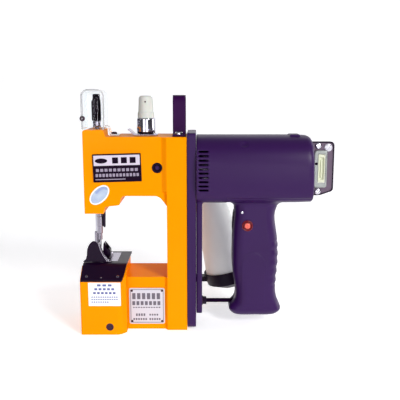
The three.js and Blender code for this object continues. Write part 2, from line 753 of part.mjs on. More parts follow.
function panScrew(centre, face, radius, height) {
  return turned('z', centre, [
    [face, 0], [face, radius], [face + height * 0.45, radius * 0.92],
    [face + height, radius * 0.4], [face + height, 0],
  ], 16);
}

function oilPumpBase() {
  const z = CASTING.top + GAP;
  return cut(
    join(prism('z', [[-6.5, -9, 3], [20, -9, 3], [20, 9, 3], [-6.5, 9, 3]], z, z + 1.4),
      prism('y', [[-5, z], [-11.6, 213.2], [-10.6, 214.2], [-4, z + 1.4]], -7, 7)),
    bar('z', [PUMP_X, 0], 6.6, z - 1, z + 3),
  );
}

function oilPumpCollar() {
  const z = CASTING.top + 2;
  return turned('z', [PUMP_X, 0], [
    [z, 3.6], [z, 9], [z + 1.6, 9.2], [z + 2, 10], [225, 10], [225, 9.2], [z + 3.6, 9.2],
    [z + 3.6, 3.6], [z, 3.6],
  ], 28);
}

function oilPumpNozzle() {
  return cut(
    turned('z', [PUMP_X, 0], [
      [204, 0], [204, 3.1], [218.4, 3.1], [218.4, 8.8], [230.5, 8.8], [232.5, 8.2], [246, 7.4],
      [248, 6.4], [248.4, 0],
    ], 24),
    bar('y', [PUMP_X, 242], 0.9, -12, -4, 10),
  );
}

function oilReservoir() {
  return turned('z', [PUMP_X, 0], [
    [184, 0], [184, 5], [186, 6], [206.6, 6], [206.6, 3.6], [188, 3.6], [188, 0],
  ], 20);
}

// ---------------------------------------------------------------- thread stand and tension

// In the stand's own frame the cone's axis is Z and its foot is at Z = 0.
const stand = new THREE.Group();
stand.position.set(CONE.x, CONE.y, CONE.z);
stand.rotation.y = CONE.tilt;

// The dish, with a level arm and a lug that hold it to the back of the belt cover.
function coneTray() {
  const dish = turned('z', [0, 0], [
    [-20, 0], [-20, 12], [-11.5, 28], [2.4, 29.5], [2.4, 27.9], [-7.6, 25.2], [-3.2, 3],
    [-3.2, 0],
  ], 32);
  stand.updateMatrix();
  const socket = bar('z', [0, 0], SPINDLE_R + GAP, -12, 0, 16);
  const placed = cut(dish, socket).applyMatrix4(stand.matrix);
  const { right, halfDepth } = BELT_COVER;
  const arm = block([right - 4, CONE.y - 6, 26], [73.6, CONE.y + 6, 32]);
  const lug = block([right - 8.4, halfDepth + GAP, 24], [right - 2.4, CONE.y + 6, 40]);
  return join(placed, arm, lug);
}

function coneSpindle() {
  return bar('z', [0, 0], SPINDLE_R, -11.6, 108, 16);
}

function threadCone() {
  return turned('z', [0, 0], [
    [-1.5, 8], [-1.5, CONE.foot - 1.6], [1, CONE.foot], [118, 15], [119, 13], [119, 8], [-1.5, 8],
  ], 32);
}

function tensionPost() {
  return bar('y', TENSION, TENSION_POST_R, CASTING.back - 8, 46, 16);
}

function tensionKnob() {
  return cut(
    turned('y', TENSION, [
      [29.2, 0], [29.2, 8], [32, 8.6], [33, 5], [34, 8.6], [36, 8], [37, 4], [38, 6.6],
      [45, 6.2], [45, 0],
    ], 24),
    bar('y', TENSION, TENSION_POST_R + RUNNING, 28, 50, 16),
  );
}

// ---------------------------------------------------------------- assembly

// casting and what is screwed to it
piece('main_casting', mainCasting(), ORANGE_PAINT);
piece('casting_back_cover', castingBackCover(), ORANGE_PAINT);
piece('looper_cover', looperCover(), ORANGE_PAINT);
piece('needle_plate', needlePlate(), STEEL);
piece('bag_guide', bagGuide(), BLACK_STEEL);
piece('foot_guard', footGuard(), BLACK_STEEL);
piece('needle_bar_cover', needleBarCover(), CLEAR_PLASTIC);
const sleeve = (z, outer, from, to) =>
  ring('x', [0, z], SHAFT_R + RUNNING, outer, from, to, 20);
piece('main_shaft_bush', sleeve(MAIN_Z, BUSH_R, -31.8, -24.6), BRASS);
piece('main_shaft_bearing', sleeve(MAIN_Z, BEARING_R, 45.4, 50.6), STEEL);
piece('lower_shaft_bush', sleeve(LOWER_Z, BUSH_R, -22.4, -10.4), BRASS);
piece('lower_shaft_bearing', sleeve(LOWER_Z, BEARING_R, 45.4, 50.6), STEEL);

// needle drive and presser
piece('needle_bar', needleBar(), CHROME);
piece('needle_bar_cap', needleBarCap(), RUBBER);
piece('needle', needle(), CHROME);
piece('crank_disc', crankDisc(), STEEL);
piece('connecting_link', connectingLink(), STEEL);
piece('presser_bar', presserBar(), CHROME);
piece('presser_spring', presserSpring(), STEEL);
piece('presser_foot', presserFoot(), BLACK_STEEL);
piece('lift_lever', liftLever(), BLACK_STEEL);

// shafts, belt, looper and feed
piece('main_shaft', mainShaft(), STEEL);
piece('lower_shaft', lowerShaft(), STEEL);
piece('upper_pulley', pulley(MAIN_Z), ALUMINIUM);
piece('lower_pulley', pulley(LOWER_Z), ALUMINIUM);
piece('timing_belt', timingBelt(), RUBBER);
piece('looper', looper(), STEEL);
piece('feed_dog', feedDog(), STEEL);

// gears and motor
piece('main_gear', mainGear(), STEEL);
piece('counter_gear', counterGear(), STEEL);
piece('motor_bulkhead', motorBulkhead(), ALUMINIUM);
piece('motor_bearing_front', sleeve(MAIN_Z, BUSH_R, 86.2, 91), STEEL);
piece('motor_rotor', motorRotor(), COPPER_WINDING);
piece('motor_stator', motorStator(), STEEL);
piece('brush_holder', brushHolder(), BLACK_PLASTIC);
piece('motor_fan', motorFan(), BLACK_PLASTIC);
piece('motor_bearing_rear', sleeve(MAIN_Z, 9, 172.4, 178), STEEL);

// housing, handle and controls
piece('belt_cover', beltCover(), PURPLE_PLASTIC);
piece('housing_front', housingFront(), PURPLE_PLASTIC);
piece('housing_back', housingBack(), PURPLE_PLASTIC);
piece('tie_rod', tieRod(), BLACK_STEEL);
piece('trigger', trigger(), BLACK_PLASTIC);
piece('trigger_switch', triggerSwitch(), BLACK_PLASTIC);
piece('lock_button', lockButton(), RED_PLASTIC);
piece('end_bracket', endBracket(), BRACKET_PAINT);
piece('inlet_bezel', inletBezel(), ALUMINIUM);
piece('inlet_insert', inletInsert(), CREAM_PLASTIC);

// top fittings
piece('hanger_bail', hangerBail(), BLACK_STEEL);
piece('hanger_screw', panScrew([43, -18.8], CASTING.top + GAP + 3.1, 4, 3), CHROME);
piece('oil_pump_base', oilPumpBase(), STEEL);
piece('oil_pump_collar', oilPumpCollar(), CHROME);
piece('oil_pump_nozzle', oilPumpNozzle(), PUMP_PLASTIC);
piece('oil_reservoir', oilReservoir(), PUMP_PLASTIC);

// thread stand and tension
piece('cone_tray', coneTray(), BLACK_PLASTIC);
piece('cone_spindle', coneSpindle(), STEEL, stand);
piece('thread_cone', threadCone(), THREAD_WHITE, stand);
machine.add(stand);
piece('tension_post', tensionPost(), STEEL);
piece('tension_knob', tensionKnob(), CHROME);

// plates on the front
const brandPlate = piece('brand_plate', block([-25, 0, -14.6], [25, 0.9, 14.6]), LABEL_BLACK);
brandPlate.position.set(-20.9, CASTING.front - 0.9 - GAP, 175);
brandPlate.rotation.y = THREE.MathUtils.degToRad(-1.6);
piece('rating_plate', prism('y', [
  [-11.2, 6, 2], [27, 6, 2], [27, 46, 2], [-11.2, 46, 2],
], CASTING.front - 0.8 - GAP, CASTING.front - GAP, 3), ALUMINIUM);
piece('front_plug', bar('y', FRONT_PLUG, 5.2, CASTING.front - 0.4, CASTING.front + 2),
  BLACK_PLASTIC);

export default machine;
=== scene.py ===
import json
import math
from itertools import product

import bmesh
import bpy
import numpy as np
from mathutils import Matrix, Vector


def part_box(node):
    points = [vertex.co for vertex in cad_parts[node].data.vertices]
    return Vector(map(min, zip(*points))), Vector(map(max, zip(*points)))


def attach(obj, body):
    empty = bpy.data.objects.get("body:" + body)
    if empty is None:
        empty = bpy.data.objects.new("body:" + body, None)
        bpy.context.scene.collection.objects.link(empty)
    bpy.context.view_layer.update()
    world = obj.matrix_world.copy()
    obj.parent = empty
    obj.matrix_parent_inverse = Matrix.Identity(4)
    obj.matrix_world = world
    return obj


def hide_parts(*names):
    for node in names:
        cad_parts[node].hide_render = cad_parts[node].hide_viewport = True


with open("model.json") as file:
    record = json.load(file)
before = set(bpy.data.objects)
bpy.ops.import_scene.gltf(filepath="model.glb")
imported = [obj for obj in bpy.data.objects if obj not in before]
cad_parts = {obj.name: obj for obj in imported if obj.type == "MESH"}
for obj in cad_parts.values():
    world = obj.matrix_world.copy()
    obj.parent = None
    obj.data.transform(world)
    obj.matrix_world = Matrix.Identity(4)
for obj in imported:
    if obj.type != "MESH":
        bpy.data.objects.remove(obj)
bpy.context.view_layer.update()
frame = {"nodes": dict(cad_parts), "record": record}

# The looks of a portable bag closer: an orange casting with the sewing head, a violet motor
# housing with a pistol handle, and a thread cone behind it. Sizes and places are in
# millimetres in the CAD model's frame. Lamps, the camera and the floor are in metres.

MM = 0.001
GAP = 0.3                    # air between two pieces that touch

# ---- camera

def linked(name, data):
    """A new object in the scene that shows the mesh, lamp or camera data."""
    obj = bpy.data.objects.new(name, data)
    bpy.context.scene.collection.objects.link(obj)
    return obj


camera = linked("camera", bpy.data.cameras.new("camera"))
camera.data.sensor_width = 36
camera.data.lens = 55.7
camera.location = (0.0647, -0.6601, 0.2532)
camera.rotation_euler = (math.radians(80), 0, 0)
bpy.context.scene.camera = camera


# ---- materials

def colour(*rgb):
    """A colour given as it looks on screen, from 0 to 255, as linear light."""
    def linear(c):
        c /= 255
        return c / 12.92 if c <= 0.04045 else ((c + 0.055) / 1.055) ** 2.4
    return (*[linear(c) for c in rgb], 1)


def shade(rgba, factor):
    return (*[min(1.0, c * factor) for c in rgba[:3]], 1)


class Finish:
    """A procedural material: tint that drifts, roughness that varies and a fine bump."""

    def __init__(self, name, tint, roughness, metallic=0.0, slot=None, second=None, drift=0.08,
                 drift_scale=25, grain_scale=900, rough_span=0.1, bump=0.15, bump_mm=0.05,
                 stretch=(1, 1, 1), **sockets):
        self.slot = slot or name
        self.material = bpy.data.materials.new(name)
        self.material.use_nodes = True
        self.tree = self.material.node_tree
        self.shader = self.tree.nodes["Principled BSDF"]
        self.shader.inputs["Metallic"].default_value = metallic
        for socket, value in sockets.items():
            self.shader.inputs[socket.replace("_", " ")].default_value = value
        self.coords = self.node("ShaderNodeTexCoord").outputs["Object"]
        stretched = self.node("ShaderNodeMapping", Scale=stretch)
        self.link(self.coords, stretched.inputs["Vector"])
        broad = self.noise(self.coords, drift_scale, 4)
        fine = self.noise(stretched.outputs["Vector"], grain_scale, 3)
        darker, lighter = shade(tint, 1 - drift), shade(second or tint, 1 + drift)
        self.tint = self.blend(broad, darker, lighter)
        self.link(self.tint, self.shader.inputs["Base Color"])
        span = self.node("ShaderNodeMapRange", **{
            "To Min": roughness - rough_span / 2, "To Max": roughness + rough_span / 2})
        self.link(fine, span.inputs["Value"])
        self.link(span.outputs["Result"], self.shader.inputs["Roughness"])
        self.bump = self.node("ShaderNodeBump", Strength=bump, Distance=bump_mm * MM)
        self.link(fine, self.bump.inputs["Height"])
        self.link(self.bump.outputs["Normal"], self.shader.inputs["Normal"])

    def node(self, kind, **values):
        made = self.tree.nodes.new(kind)
        for socket, value in values.items():
            made.inputs[socket].default_value = value
        return made

    def link(self, start, end):
        self.tree.links.new(start, end)

    def noise(self, vector, scale, detail):
        made = self.node("ShaderNodeTexNoise", Scale=scale, Detail=detail)
        self.link(vector, made.inputs["Vector"])
        return made.outputs["Fac"]

    def blend(self, factor, low, high):
        made = self.node("ShaderNodeMix")
        made.data_type = "RGBA"
        made.inputs[6].default_value = low
        made.inputs[7].default_value = high
        self.link(factor, made.inputs[0])
        return made.outputs[2]


ENAMEL = Finish("orange_paint", colour(246, 142, 0), 0.32, drift=0.05, drift_scale=14,
                grain_scale=700, bump=0.1, bump_mm=0.06, second=colour(250, 150, 0),
                Coat_Weight=0.05, Coat_Roughness=0.15, IOR=1.04)
VIOLET = Finish("purple_plastic", colour(46, 12, 72), 0.4, drift=0.12, drift_scale=18,
                grain_scale=1600, rough_span=0.12, bump=0.25, IOR=1.31)
BLACK_STEEL = Finish("black_steel", colour(22, 1, 31), 0.34, drift=0.2, grain_scale=1100,
                     bump=0.12, IOR=1.26)
BLACK_PLASTIC = Finish("black_plastic", colour(22, 5, 32), 0.42, drift=0.15, grain_scale=1200,
                       IOR=1.26)
PLUM_STEEL = Finish("plum_steel", colour(46, 4, 60), 0.36, drift=0.15, grain_scale=1100,
                    bump=0.12, IOR=1.2, slot="black_steel")
RUBBER = Finish("black_rubber", colour(17, 7, 20), 0.7, drift=0.15, grain_scale=1200, bump=0.12,
                IOR=1.14)
CHROME = Finish("chrome", colour(206, 204, 214), 0.12, 1.0, drift=0.03, grain_scale=300,
                rough_span=0.06, bump=0.03)
STEEL = Finish("steel", colour(166, 160, 174), 0.24, 1.0, drift=0.06, grain_scale=400, bump=0.05,
               stretch=(1, 1, 14))
DARK_STEEL = Finish("oiled_screw_steel", colour(64, 44, 58), 0.36, 0.85, drift=0.2, bump=0.1,
                    slot="steel")
BRONZE = Finish("bronze", colour(181, 149, 79), 0.35, 1.0, drift=0.1, grain_scale=700)
COPPER = Finish("copper_winding", colour(155, 90, 46), 0.4, 0.9, drift=0.2, grain_scale=300,
                bump=0.5, bump_mm=0.3, stretch=(1, 8, 8))
ALUMINIUM = Finish("aluminium", colour(208, 206, 216), 0.38, 0.55, drift=0.05, grain_scale=420,
                   rough_span=0.14, bump=0.08, stretch=(1, 20, 20))
GREY_ALUMINIUM = Finish("grey_aluminium", colour(148, 152, 150), 0.42, 0.8, drift=0.12,
                        drift_scale=60, bump=0.08, slot="aluminium")
CLEAR = Finish("clear_plastic", colour(250, 252, 253), 0.05, drift=0.01, grain_scale=200,
               rough_span=0.05, bump=0.02, Transmission_Weight=1.0, IOR=1.38,
               Specular_Tint=(0.25, 0.25, 0.28, 1))
PUMP_PLASTIC = Finish("white_plastic", colour(205, 207, 200), 0.36, drift=0.03, bump=0.08,
                      Subsurface_Weight=0.15, Subsurface_Scale=0.004)
CREAM = Finish("cream_plastic", colour(228, 226, 205), 0.38, drift_scale=60, bump=0.1,
               second=colour(214, 222, 190))
RED = Finish("red_plastic", colour(228, 96, 78), 0.3, drift_scale=120, grain_scale=1200, bump=0.1,
             Coat_Weight=0.3)
DARK_RED = Finish("dark_red_plastic", colour(120, 14, 30), 0.35, drift=0.1, grain_scale=1200,
                  slot="red_plastic")
INK = Finish("label_black", colour(22, 4, 28), 0.45, drift=0.1, grain_scale=1500, bump=0.05,
             IOR=1.14)
SILVER_PRINT = Finish("printed_silver", colour(206, 196, 212), 0.36, 0.35, drift=0.06,
                      drift_scale=60, bump=0.05, slot="aluminium")
PALE_INK = Finish("pale_ink", colour(150, 138, 160), 0.4, drift=0.15, drift_scale=300,
                  slot="aluminium")
GREY_INK = Finish("grey_ink", colour(98, 92, 106), 0.42, drift=0.15, drift_scale=300,
                  slot="label_black")
BLUE_INK = Finish("blue_ink", colour(92, 98, 158), 0.42, drift=0.2, drift_scale=300,
                  slot="label_black")
PAPER = Finish("label_paper", colour(244, 246, 250), 0.45, drift=0.02, grain_scale=1500, bump=0.1,
               slot="white_plastic")
PANEL = Finish("bracket_paint", colour(92, 74, 94), 0.42, 0.2, drift=0.1, drift_scale=50,
               grain_scale=1200, bump=0.12)
# The thread glows faintly: a painted brightness that makes the cone look lit where no lamp reaches
# it.
THREAD = Finish("thread", colour(246, 248, 246), 0.75, drift=0.03, drift_scale=40,
                grain_scale=1500, bump=0.2, bump_mm=0.1, Sheen_Weight=0.25,
                Emission_Color=(1, 1, 1, 1), Emission_Strength=0.08)
PEARL = Finish("pearl_film", colour(214, 228, 240), 0.25, 0.2, drift=0.1, drift_scale=160,
               grain_scale=1000, bump=0.04, second=colour(150, 166, 205), Coat_Weight=0.4,
               slot="clear_plastic")
STATOR_STEEL = Finish("varnished_laminations", colour(38, 30, 40), 0.5, 0.5, drift=0.2,
                      grain_scale=500, bump=0.4, stretch=(12, 1, 1), slot="steel")
DECAL_BLUE = Finish("decal_blue", colour(140, 156, 200), 0.3, drift=0.15, drift_scale=200,
                    slot="label_black")

# The finish that a CAD node gets by its material slot.
BY_SLOT = {finish.slot: finish for finish in (
    ENAMEL, VIOLET, BLACK_STEEL, BLACK_PLASTIC, RUBBER, CHROME, STEEL, BRONZE, COPPER,
    ALUMINIUM, CLEAR, PUMP_PLASTIC, CREAM, RED, INK, THREAD, PANEL)}


def add_fibre_bump(finish, scale):
    """Crossed windings: two sets of fine slanting stripes over the fine grain."""
    slant = finish.node("ShaderNodeMapping", Rotation=(0.0, 0.18, 0.0), Scale=(0.15, 0.15, 1))
    finish.link(finish.coords, slant.inputs["Vector"])
    wave = finish.node("ShaderNodeTexWave", Scale=scale, Distortion=1.5, Detail=2.0)
    wave.bands_direction = "Z"
    finish.link(slant.outputs["Vector"], wave.inputs["Vector"])
    over = finish.node("ShaderNodeBump", Strength=0.35, Distance=0.12 * MM)
    finish.link(wave.outputs["Fac"], over.inputs["Height"])
    finish.link(finish.bump.outputs["Normal"], over.inputs["Normal"])
    finish.link(over.outputs["Normal"], finish.shader.inputs["Normal"])


add_fibre_bump(THREAD, 420)


# ---- mesh helpers

def smooth_by_angle():
    """A modifier group that shades faces smooth and keeps edges over 35 degrees sharp."""
    group = bpy.data.node_groups.new("smooth_by_angle", "GeometryNodeTree")
    for way in ("INPUT", "OUTPUT"):
        group.interface.new_socket("Geometry", in_out=way, socket_type="NodeSocketGeometry")
    start = group.nodes.new("NodeGroupInput")
    end = group.nodes.new("NodeGroupOutput")
    angle = group.nodes.new("GeometryNodeInputMeshEdgeAngle")
    below = group.nodes.new("FunctionNodeCompare")
    below.operation = "LESS_THAN"
    below.inputs["B"].default_value = math.radians(35)
    faces = group.nodes.new("GeometryNodeSetShadeSmooth")
    edges = group.nodes.new("GeometryNodeSetShadeSmooth")
    edges.domain = "EDGE"
    link = group.links.new
    link(start.outputs[0], faces.inputs["Geometry"])
    link(faces.outputs[0], edges.inputs["Geometry"])
    link(angle.outputs["Unsigned Angle"], below.inputs["A"])
    link(below.outputs[0], edges.inputs["Shade Smooth"])
    link(edges.outputs[0], end.inputs[0])
    return group


SMOOTH = smooth_by_angle()


def soften(obj, bevel=0.0, segments=3):
    """Rounds the sharp edges by bevel millimetres and shades the rest smooth."""
    if bevel:
        rounding = obj.modifiers.new("rounding", "BEVEL")
        rounding.width = bevel * MM
        rounding.segments = segments
        rounding.limit_method = "ANGLE"
        rounding.angle_limit = math.radians(32)
        rounding.use_clamp_overlap = True
    obj.modifiers.new("smooth", "NODES").node_group = SMOOTH
    weights = obj.modifiers.new("weights", "WEIGHTED_NORMAL")
    weights.keep_sharp = True
    weights.weight = 60
    return obj


def shape(name, verts, faces):
    """A mesh object from corners in millimetres, with its faces turned outwards."""
    mesh = bpy.data.meshes.new(name)
    mesh.from_pydata([Vector(v) * MM for v in verts], [], [list(f) for f in faces])
    made = bmesh.new()
    made.from_mesh(mesh)
    bmesh.ops.recalc_face_normals(made, faces=made.faces)
    made.to_mesh(mesh)
    made.free()
    return linked(name, mesh)


def add(obj, finish, bevel=0.0, segments=3, body="frame", replaces=None):
    """Finishes a piece: its rounding, material and body, and hides the CAD node it stands for."""
    obj.data.materials.clear()
    obj.data.materials.append(finish.material)
    soften(obj, bevel, segments)
    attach(obj, body)
    if replaces:
        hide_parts(replaces)
    return obj


def place(axis, u, v, along):
    """A point from its two coordinates across an axis and its place along it."""
    return {"x": (along, u, v), "y": (u, along, v), "z": (u, v, along)}[axis]


def rounded(corners, steps=6):
    """A closed outline. Each corner is (u, v) or (u, v, radius)."""
    points = []
    for i, (u, v, *radius) in enumerate(corners):
        here = Vector((u, v))
        if not radius:
            points.append(here)
            continue
        before = Vector(corners[i - 1][:2]) - here
        after = Vector(corners[(i + 1) % len(corners)][:2]) - here
        start = here + before.normalized() * radius[0]
        end = here + after.normalized() * radius[0]
        for k in range(steps + 1):
            t = k / steps
            points.append(start.lerp(here, t).lerp(here.lerp(end, t), t))
    return points


def rectangle(low, high, radius=0.0, steps=6):
    (u0, v0), (u1, v1) = low, high
    corners = [(u0, v0), (u1, v0), (u1, v1), (u0, v1)]
    if radius:
        corners = [(u, v, radius) for u, v in corners]
    return rounded(corners, steps)


def disc(u, v, radius, sides, up=None):
    """A circle, or an oval where its half height up is given."""
    turns = [2 * math.pi * i / sides for i in range(sides)]
    return [Vector((u + radius * math.cos(a), v + (up or radius) * math.sin(a))) for a in turns]


def catmull_rom(knots, steps):
    """Points on the smooth curve through all knots but the first and the last."""
    curve = []
    for a, b, c, d in zip(knots, knots[1:], knots[2:], knots[3:]):
        for k in range(steps):
            t = k / steps
            curve.append(0.5 * (2 * b + (c - a) * t + (2 * a - 5 * b + 4 * c - d) * t ** 2
                                + (3 * b - a - 3 * c + d) * t ** 3))
    return curve


def through(points, steps=6):
    """A closed smooth curve through the points."""
    knots = [Vector(p) for p in points]
    return catmull_rom([knots[-1], *knots, *knots[:2]], steps)


def spline(points, steps=6):
    """An open smooth curve through the points."""
    knots = [Vector(p) for p in points]
    before, after = 2 * knots[0] - knots[1], 2 * knots[-1] - knots[-2]
    return catmull_rom([before, *knots, after], steps) + [knots[-1]]


def ribbon(name, curve, thickness, low, high):
    """A strip of sheet that follows a curve in X and Z and spans low to high along Y."""
    left, right = [], []
    for i, point in enumerate(curve):
        along = curve[min(i + 1, len(curve) - 1)] - curve[max(i - 1, 0)]
        normal = Vector((-along.y, along.x)).normalized() * thickness / 2
        left.append(point + normal)
        right.append(point - normal)
    return prism(name, "y", left + right[::-1], low, high)


def lofted(name, rings, closed=False):
    """A body through rings of equal length, with a flat cap at each end or closed on itself."""
    count, last = len(rings[0]), len(rings) - 1
    faces = [] if closed else [range(count), range(last * count, (last + 1) * count)]
    for a in range(last + closed):
        b = (a + 1) % len(rings)
        for i in range(count):
            j = (i + 1) % count
            faces.append((a * count + i, a * count + j, b * count + j, b * count + i))
    return shape(name, [p for ring in rings for p in ring], faces)


def ring(axis, outline, along):
    return [place(axis, u, v, along) for u, v in outline]


def prism(name, axis, outline, low, high):
    return lofted(name, [ring(axis, outline, low), ring(axis, outline, high)])


def tile(name, low, high, radius, front, back, steps=6):
    """A flat plate that faces the front, from its low and high corners in X and Z."""
    return prism(name, "y", rectangle(low, high, radius, steps), front, back)


def drawn_in(low, high, inset, radius):
    """A box's outline as seen from the front, drawn in on every side."""
    return rectangle((low.x + inset, low.z + inset), (high.x - inset, high.z - inset), radius)


def band(name, axis, outer, inner, low, high):
    """A flat frame between two outlines with the same number of points."""
    edges = (outer, low), (outer, high), (inner, high), (inner, low)
    return lofted(name, [ring(axis, outline, along) for outline, along in edges], closed=True)


def turned(name, axis, centre, profile, sides=64, closed=False):
    """A body turned about an axis. The profile is (place along it, radius) pairs."""
    verts, rings = [], []
    for along, radius in profile:
        start = len(verts)
        count = sides if radius else 1
        for i in range(count):
            a = 2 * math.pi * i / sides
            verts.append(place(axis, centre[0] + radius * math.cos(a),
                               centre[1] + radius * math.sin(a), along))
        rings.append(range(start, start + count))
    faces = []
    for a, b in zip(rings, rings[1:] + rings[:1] if closed else rings[1:]):
        for i in range(sides):
            corners = (a[i % len(a)], a[(i + 1) % sides % len(a)],
                       b[(i + 1) % sides % len(b)], b[i % len(b)])
            face = list(dict.fromkeys(corners))
            if len(face) > 2:
                faces.append(face)
    return shape(name, verts, faces)


def softened(profile, radius, steps=4):
    """A turned profile with its inner corners rounded."""
    inner = [(along, out, radius) for along, out in profile[1:-1]]
    return [tuple(p) for p in rounded([profile[0], *inner, profile[-1]], steps)]


def raised(level, profile):
    """A turned profile that was given from a level along its axis."""
    return [(level + along, radius) for along, radius in profile]


def block(name, low, high):
    return prism(name, "z", rectangle(low[:2], high[:2]), low[2], high[2])


def combined(obj, operation, *tools):
    """Joins, cuts or trims obj with the tools and takes the tools away."""
    for tool in tools:
        step = obj.modifiers.new(operation, "BOOLEAN")
        step.operation = operation
        step.solver = "EXACT"
        step.object = tool
    graph = bpy.context.evaluated_depsgraph_get()
    mesh = bpy.data.meshes.new_from_object(obj.evaluated_get(graph))
    obj.modifiers.clear()
    obj.data = mesh
    for tool in tools:
        bpy.data.objects.remove(tool)
    return obj


def cut(obj, *tools):
    return combined(obj, "DIFFERENCE", *tools)


def gathered(name, objs):
    """Several loose shapes as one object."""
    made = bmesh.new()
    for obj in objs:
        made.from_mesh(obj.data)
        bpy.data.objects.remove(obj)
    mesh = bpy.data.meshes.new(name)
    made.to_mesh(mesh)
    made.free()
    return linked(name, mesh)


def moved(obj, *matrices):
    """Moves the mesh itself, so that its object stays at the origin."""
    for matrix in matrices:
        obj.data.transform(matrix)
    return obj


def shift(x, y, z):
    return Matrix.Translation(Vector((x, y, z)) * MM)


def turn(angle, axis, centre=(0, 0, 0)):
    there = shift(*centre)
    return there @ Matrix.Rotation(math.radians(angle), 4, axis.upper()) @ there.inverted()


def corners_of(node):
    """A CAD node's lowest and highest corners in millimetres."""
    return [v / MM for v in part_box(node)]


def middle_of(node):
    low, high = corners_of(node)
    return (low + high) / 2


# Flat faces of the casting that pieces stand on.
HEAD_FRONT = corners_of("brand_plate")[1].y + GAP
HEAD_TOP = corners_of("main_casting")[1].z
ARM_TOP = corners_of("oil_pump_base")[0].z - GAP


# ---- screws and rivets

# Screws are made standing on Z = 0, head up, and then turned to face their direction.
FACING = {
    "front": turn(90, "x"), "back": turn(-90, "x"), "left": turn(-90, "y"), "up": shift(0, 0, 0),
}


def screw_head(name, radius, height, cross, slot_angle):
    """A pan head with a cross or a single slot cut into it."""
    head = turned(name, "z", (0, 0), [
        (0, 0), (0, radius), (height * 0.45, radius), (height * 0.8, radius * 0.82),
        (height, radius * 0.45), (height, 0)], 40)
    width = radius * 0.14
    arm = radius * (0.52 if cross else 0.8)
    tools = []
    for angle in (slot_angle, slot_angle + 90)[:2 if cross else 1]:
        tool = block("tool", (-arm, -width, height * 0.45), (arm, width, height + 1))
        tools.append(moved(tool, turn(angle, "z")))
    if cross:
        tools = [combined(tools[0], "UNION", tools[1])]
    return cut(head, *tools)


def screw(name, centre, facing, radius, height, finish=STEEL, cross=True,
          slot_angle=25):
    """A screw head at its centre. It faces a named way or as a rotation says."""
    way = FACING[facing] if isinstance(facing, str) else facing
    head = moved(screw_head(name, radius, height, cross, slot_angle), way, shift(*centre))
    return add(head, finish, bevel=0.15, segments=2)


# ---- CAD nodes that stay

# Rounding of the CAD nodes that are shown as they are, in millimetres.
ROUNDING = {
    "main_casting": 1.5, "casting_back_cover": 0.7, "looper_cover": 1.6, "needle_plate": 0.3,
    "belt_cover": 1.4, "lift_lever": 0.8,
    "presser_bar": 0.3, "looper": 0.4, "crank_disc": 0.4, "connecting_link": 0.3,
    "trigger": 0.8, "trigger_switch": 0.5, "brush_holder": 0.4, "tension_post": 0.3,
    "end_bracket": 0.5, "cone_spindle": 0.6, "motor_fan": 0.3, "lower_shaft": 0.4,
    "main_shaft": 0.4,
}


def dress_cad_nodes():
    slots = {s["node"]: s["material_slot"] for s in frame["record"]["subparts"]}
    for name, node in frame["nodes"].items():
        for holder in node.material_slots:
            finish = STATOR_STEEL if name == "motor_stator" else BY_SLOT[slots[name]]
            holder.material = finish.material
        welding = node.modifiers.new("welding", "WELD")
        welding.merge_threshold = 0.005 * MM
        flats = node.modifiers.new("flats", "DECIMATE")
        flats.decimate_type = "DISSOLVE"
        flats.angle_limit = math.radians(0.5)
        soften(node, ROUNDING.get(name, 0.0))


dress_cad_nodes()


# ---- motor housing and handle

def smooth_min(a, b, k):
    h = np.clip(0.5 + 0.5 * (b - a) / k, 0, 1)
    return b * (1 - h) + a * h - k * h * (1 - h)


def smooth_max(a, b, k):
    return -smooth_min(-a, -b, k)


def distance_to_outline(outline, u, v):
    """Signed distance in a plane to a closed outline, negative inside."""
    nearest = np.full(u.shape, 1e9, np.float32)
    inside = np.zeros(u.shape, bool)
    for a, b in zip(outline, outline[1:] + outline[:1]):
        du, dv = b[0] - a[0], b[1] - a[1]
        length = max(du * du + dv * dv, 1e-12)
        t = np.clip(((u - a[0]) * du + (v - a[1]) * dv) / length, 0, 1)
        nearest = np.minimum(nearest, (u - a[0] - t * du) ** 2 + (v - a[1] - t * dv) ** 2)
        if dv:
            crosses = (a[1] > v) != (b[1] > v)
            inside ^= crosses & (u < a[0] + (v - a[1]) / dv * du)
    return np.where(inside, -1, 1) * np.sqrt(nearest)


def surface_net(field, low, cell):
    """The surface where the field is 0, as corners and four-sided faces."""
    inside = field < 0
    sizes = np.array(field.shape) - 1
    count = np.zeros(sizes, np.int8)
    for i, j, k in product((0, 1), repeat=3):
        count += inside[i:sizes[0] + i, j:sizes[1] + j, k:sizes[2] + k]
    active = (count > 0) & (count < 8)
    cells = np.argwhere(active)
    index = np.full(sizes, -1)
    index[active] = np.arange(len(cells))
    total, crossings = np.zeros((len(cells), 3)), np.zeros(len(cells))
    faces = []
    unit = np.eye(3, dtype=int)
    for axis in range(3):
        one, two = unit[axis - 2], unit[axis - 1]
        # a cell's corner lies at the mean of the places where its edges are crossed
        for a, b in product((0, 1), repeat=2):
            start = a * one + b * two
            f0 = field[tuple((cells + start).T)]
            f1 = field[tuple((cells + start + unit[axis]).T)]
            cross = (f0 < 0) != (f1 < 0)
            share = np.where(cross, f0 / np.where(cross, f0 - f1, 1), 0)
            total += np.where(cross[:, None], start + share[:, None] * unit[axis], 0)
            crossings += cross
        # and every crossed edge gets a face between the four cells around it
        before, after = [slice(1, -1)] * 3, [slice(1, -1)] * 3
        before[axis], after[axis] = slice(0, -1), slice(1, None)
        leaving, entering = inside[tuple(before)], inside[tuple(after)]
        crossed = leaving != entering
        edges = np.argwhere(crossed) + 1 - unit[axis]
        quad = np.stack([index[tuple((edges - step).T)] for step in (0, one, one + two, two)], 1)
        back = ~leaving[crossed]
        quad[back] = quad[back][:, ::-1]
        faces.append(quad)
    verts = (cells + total / crossings[:, None]) * cell + np.array(low)
    return verts, np.concatenate(faces)


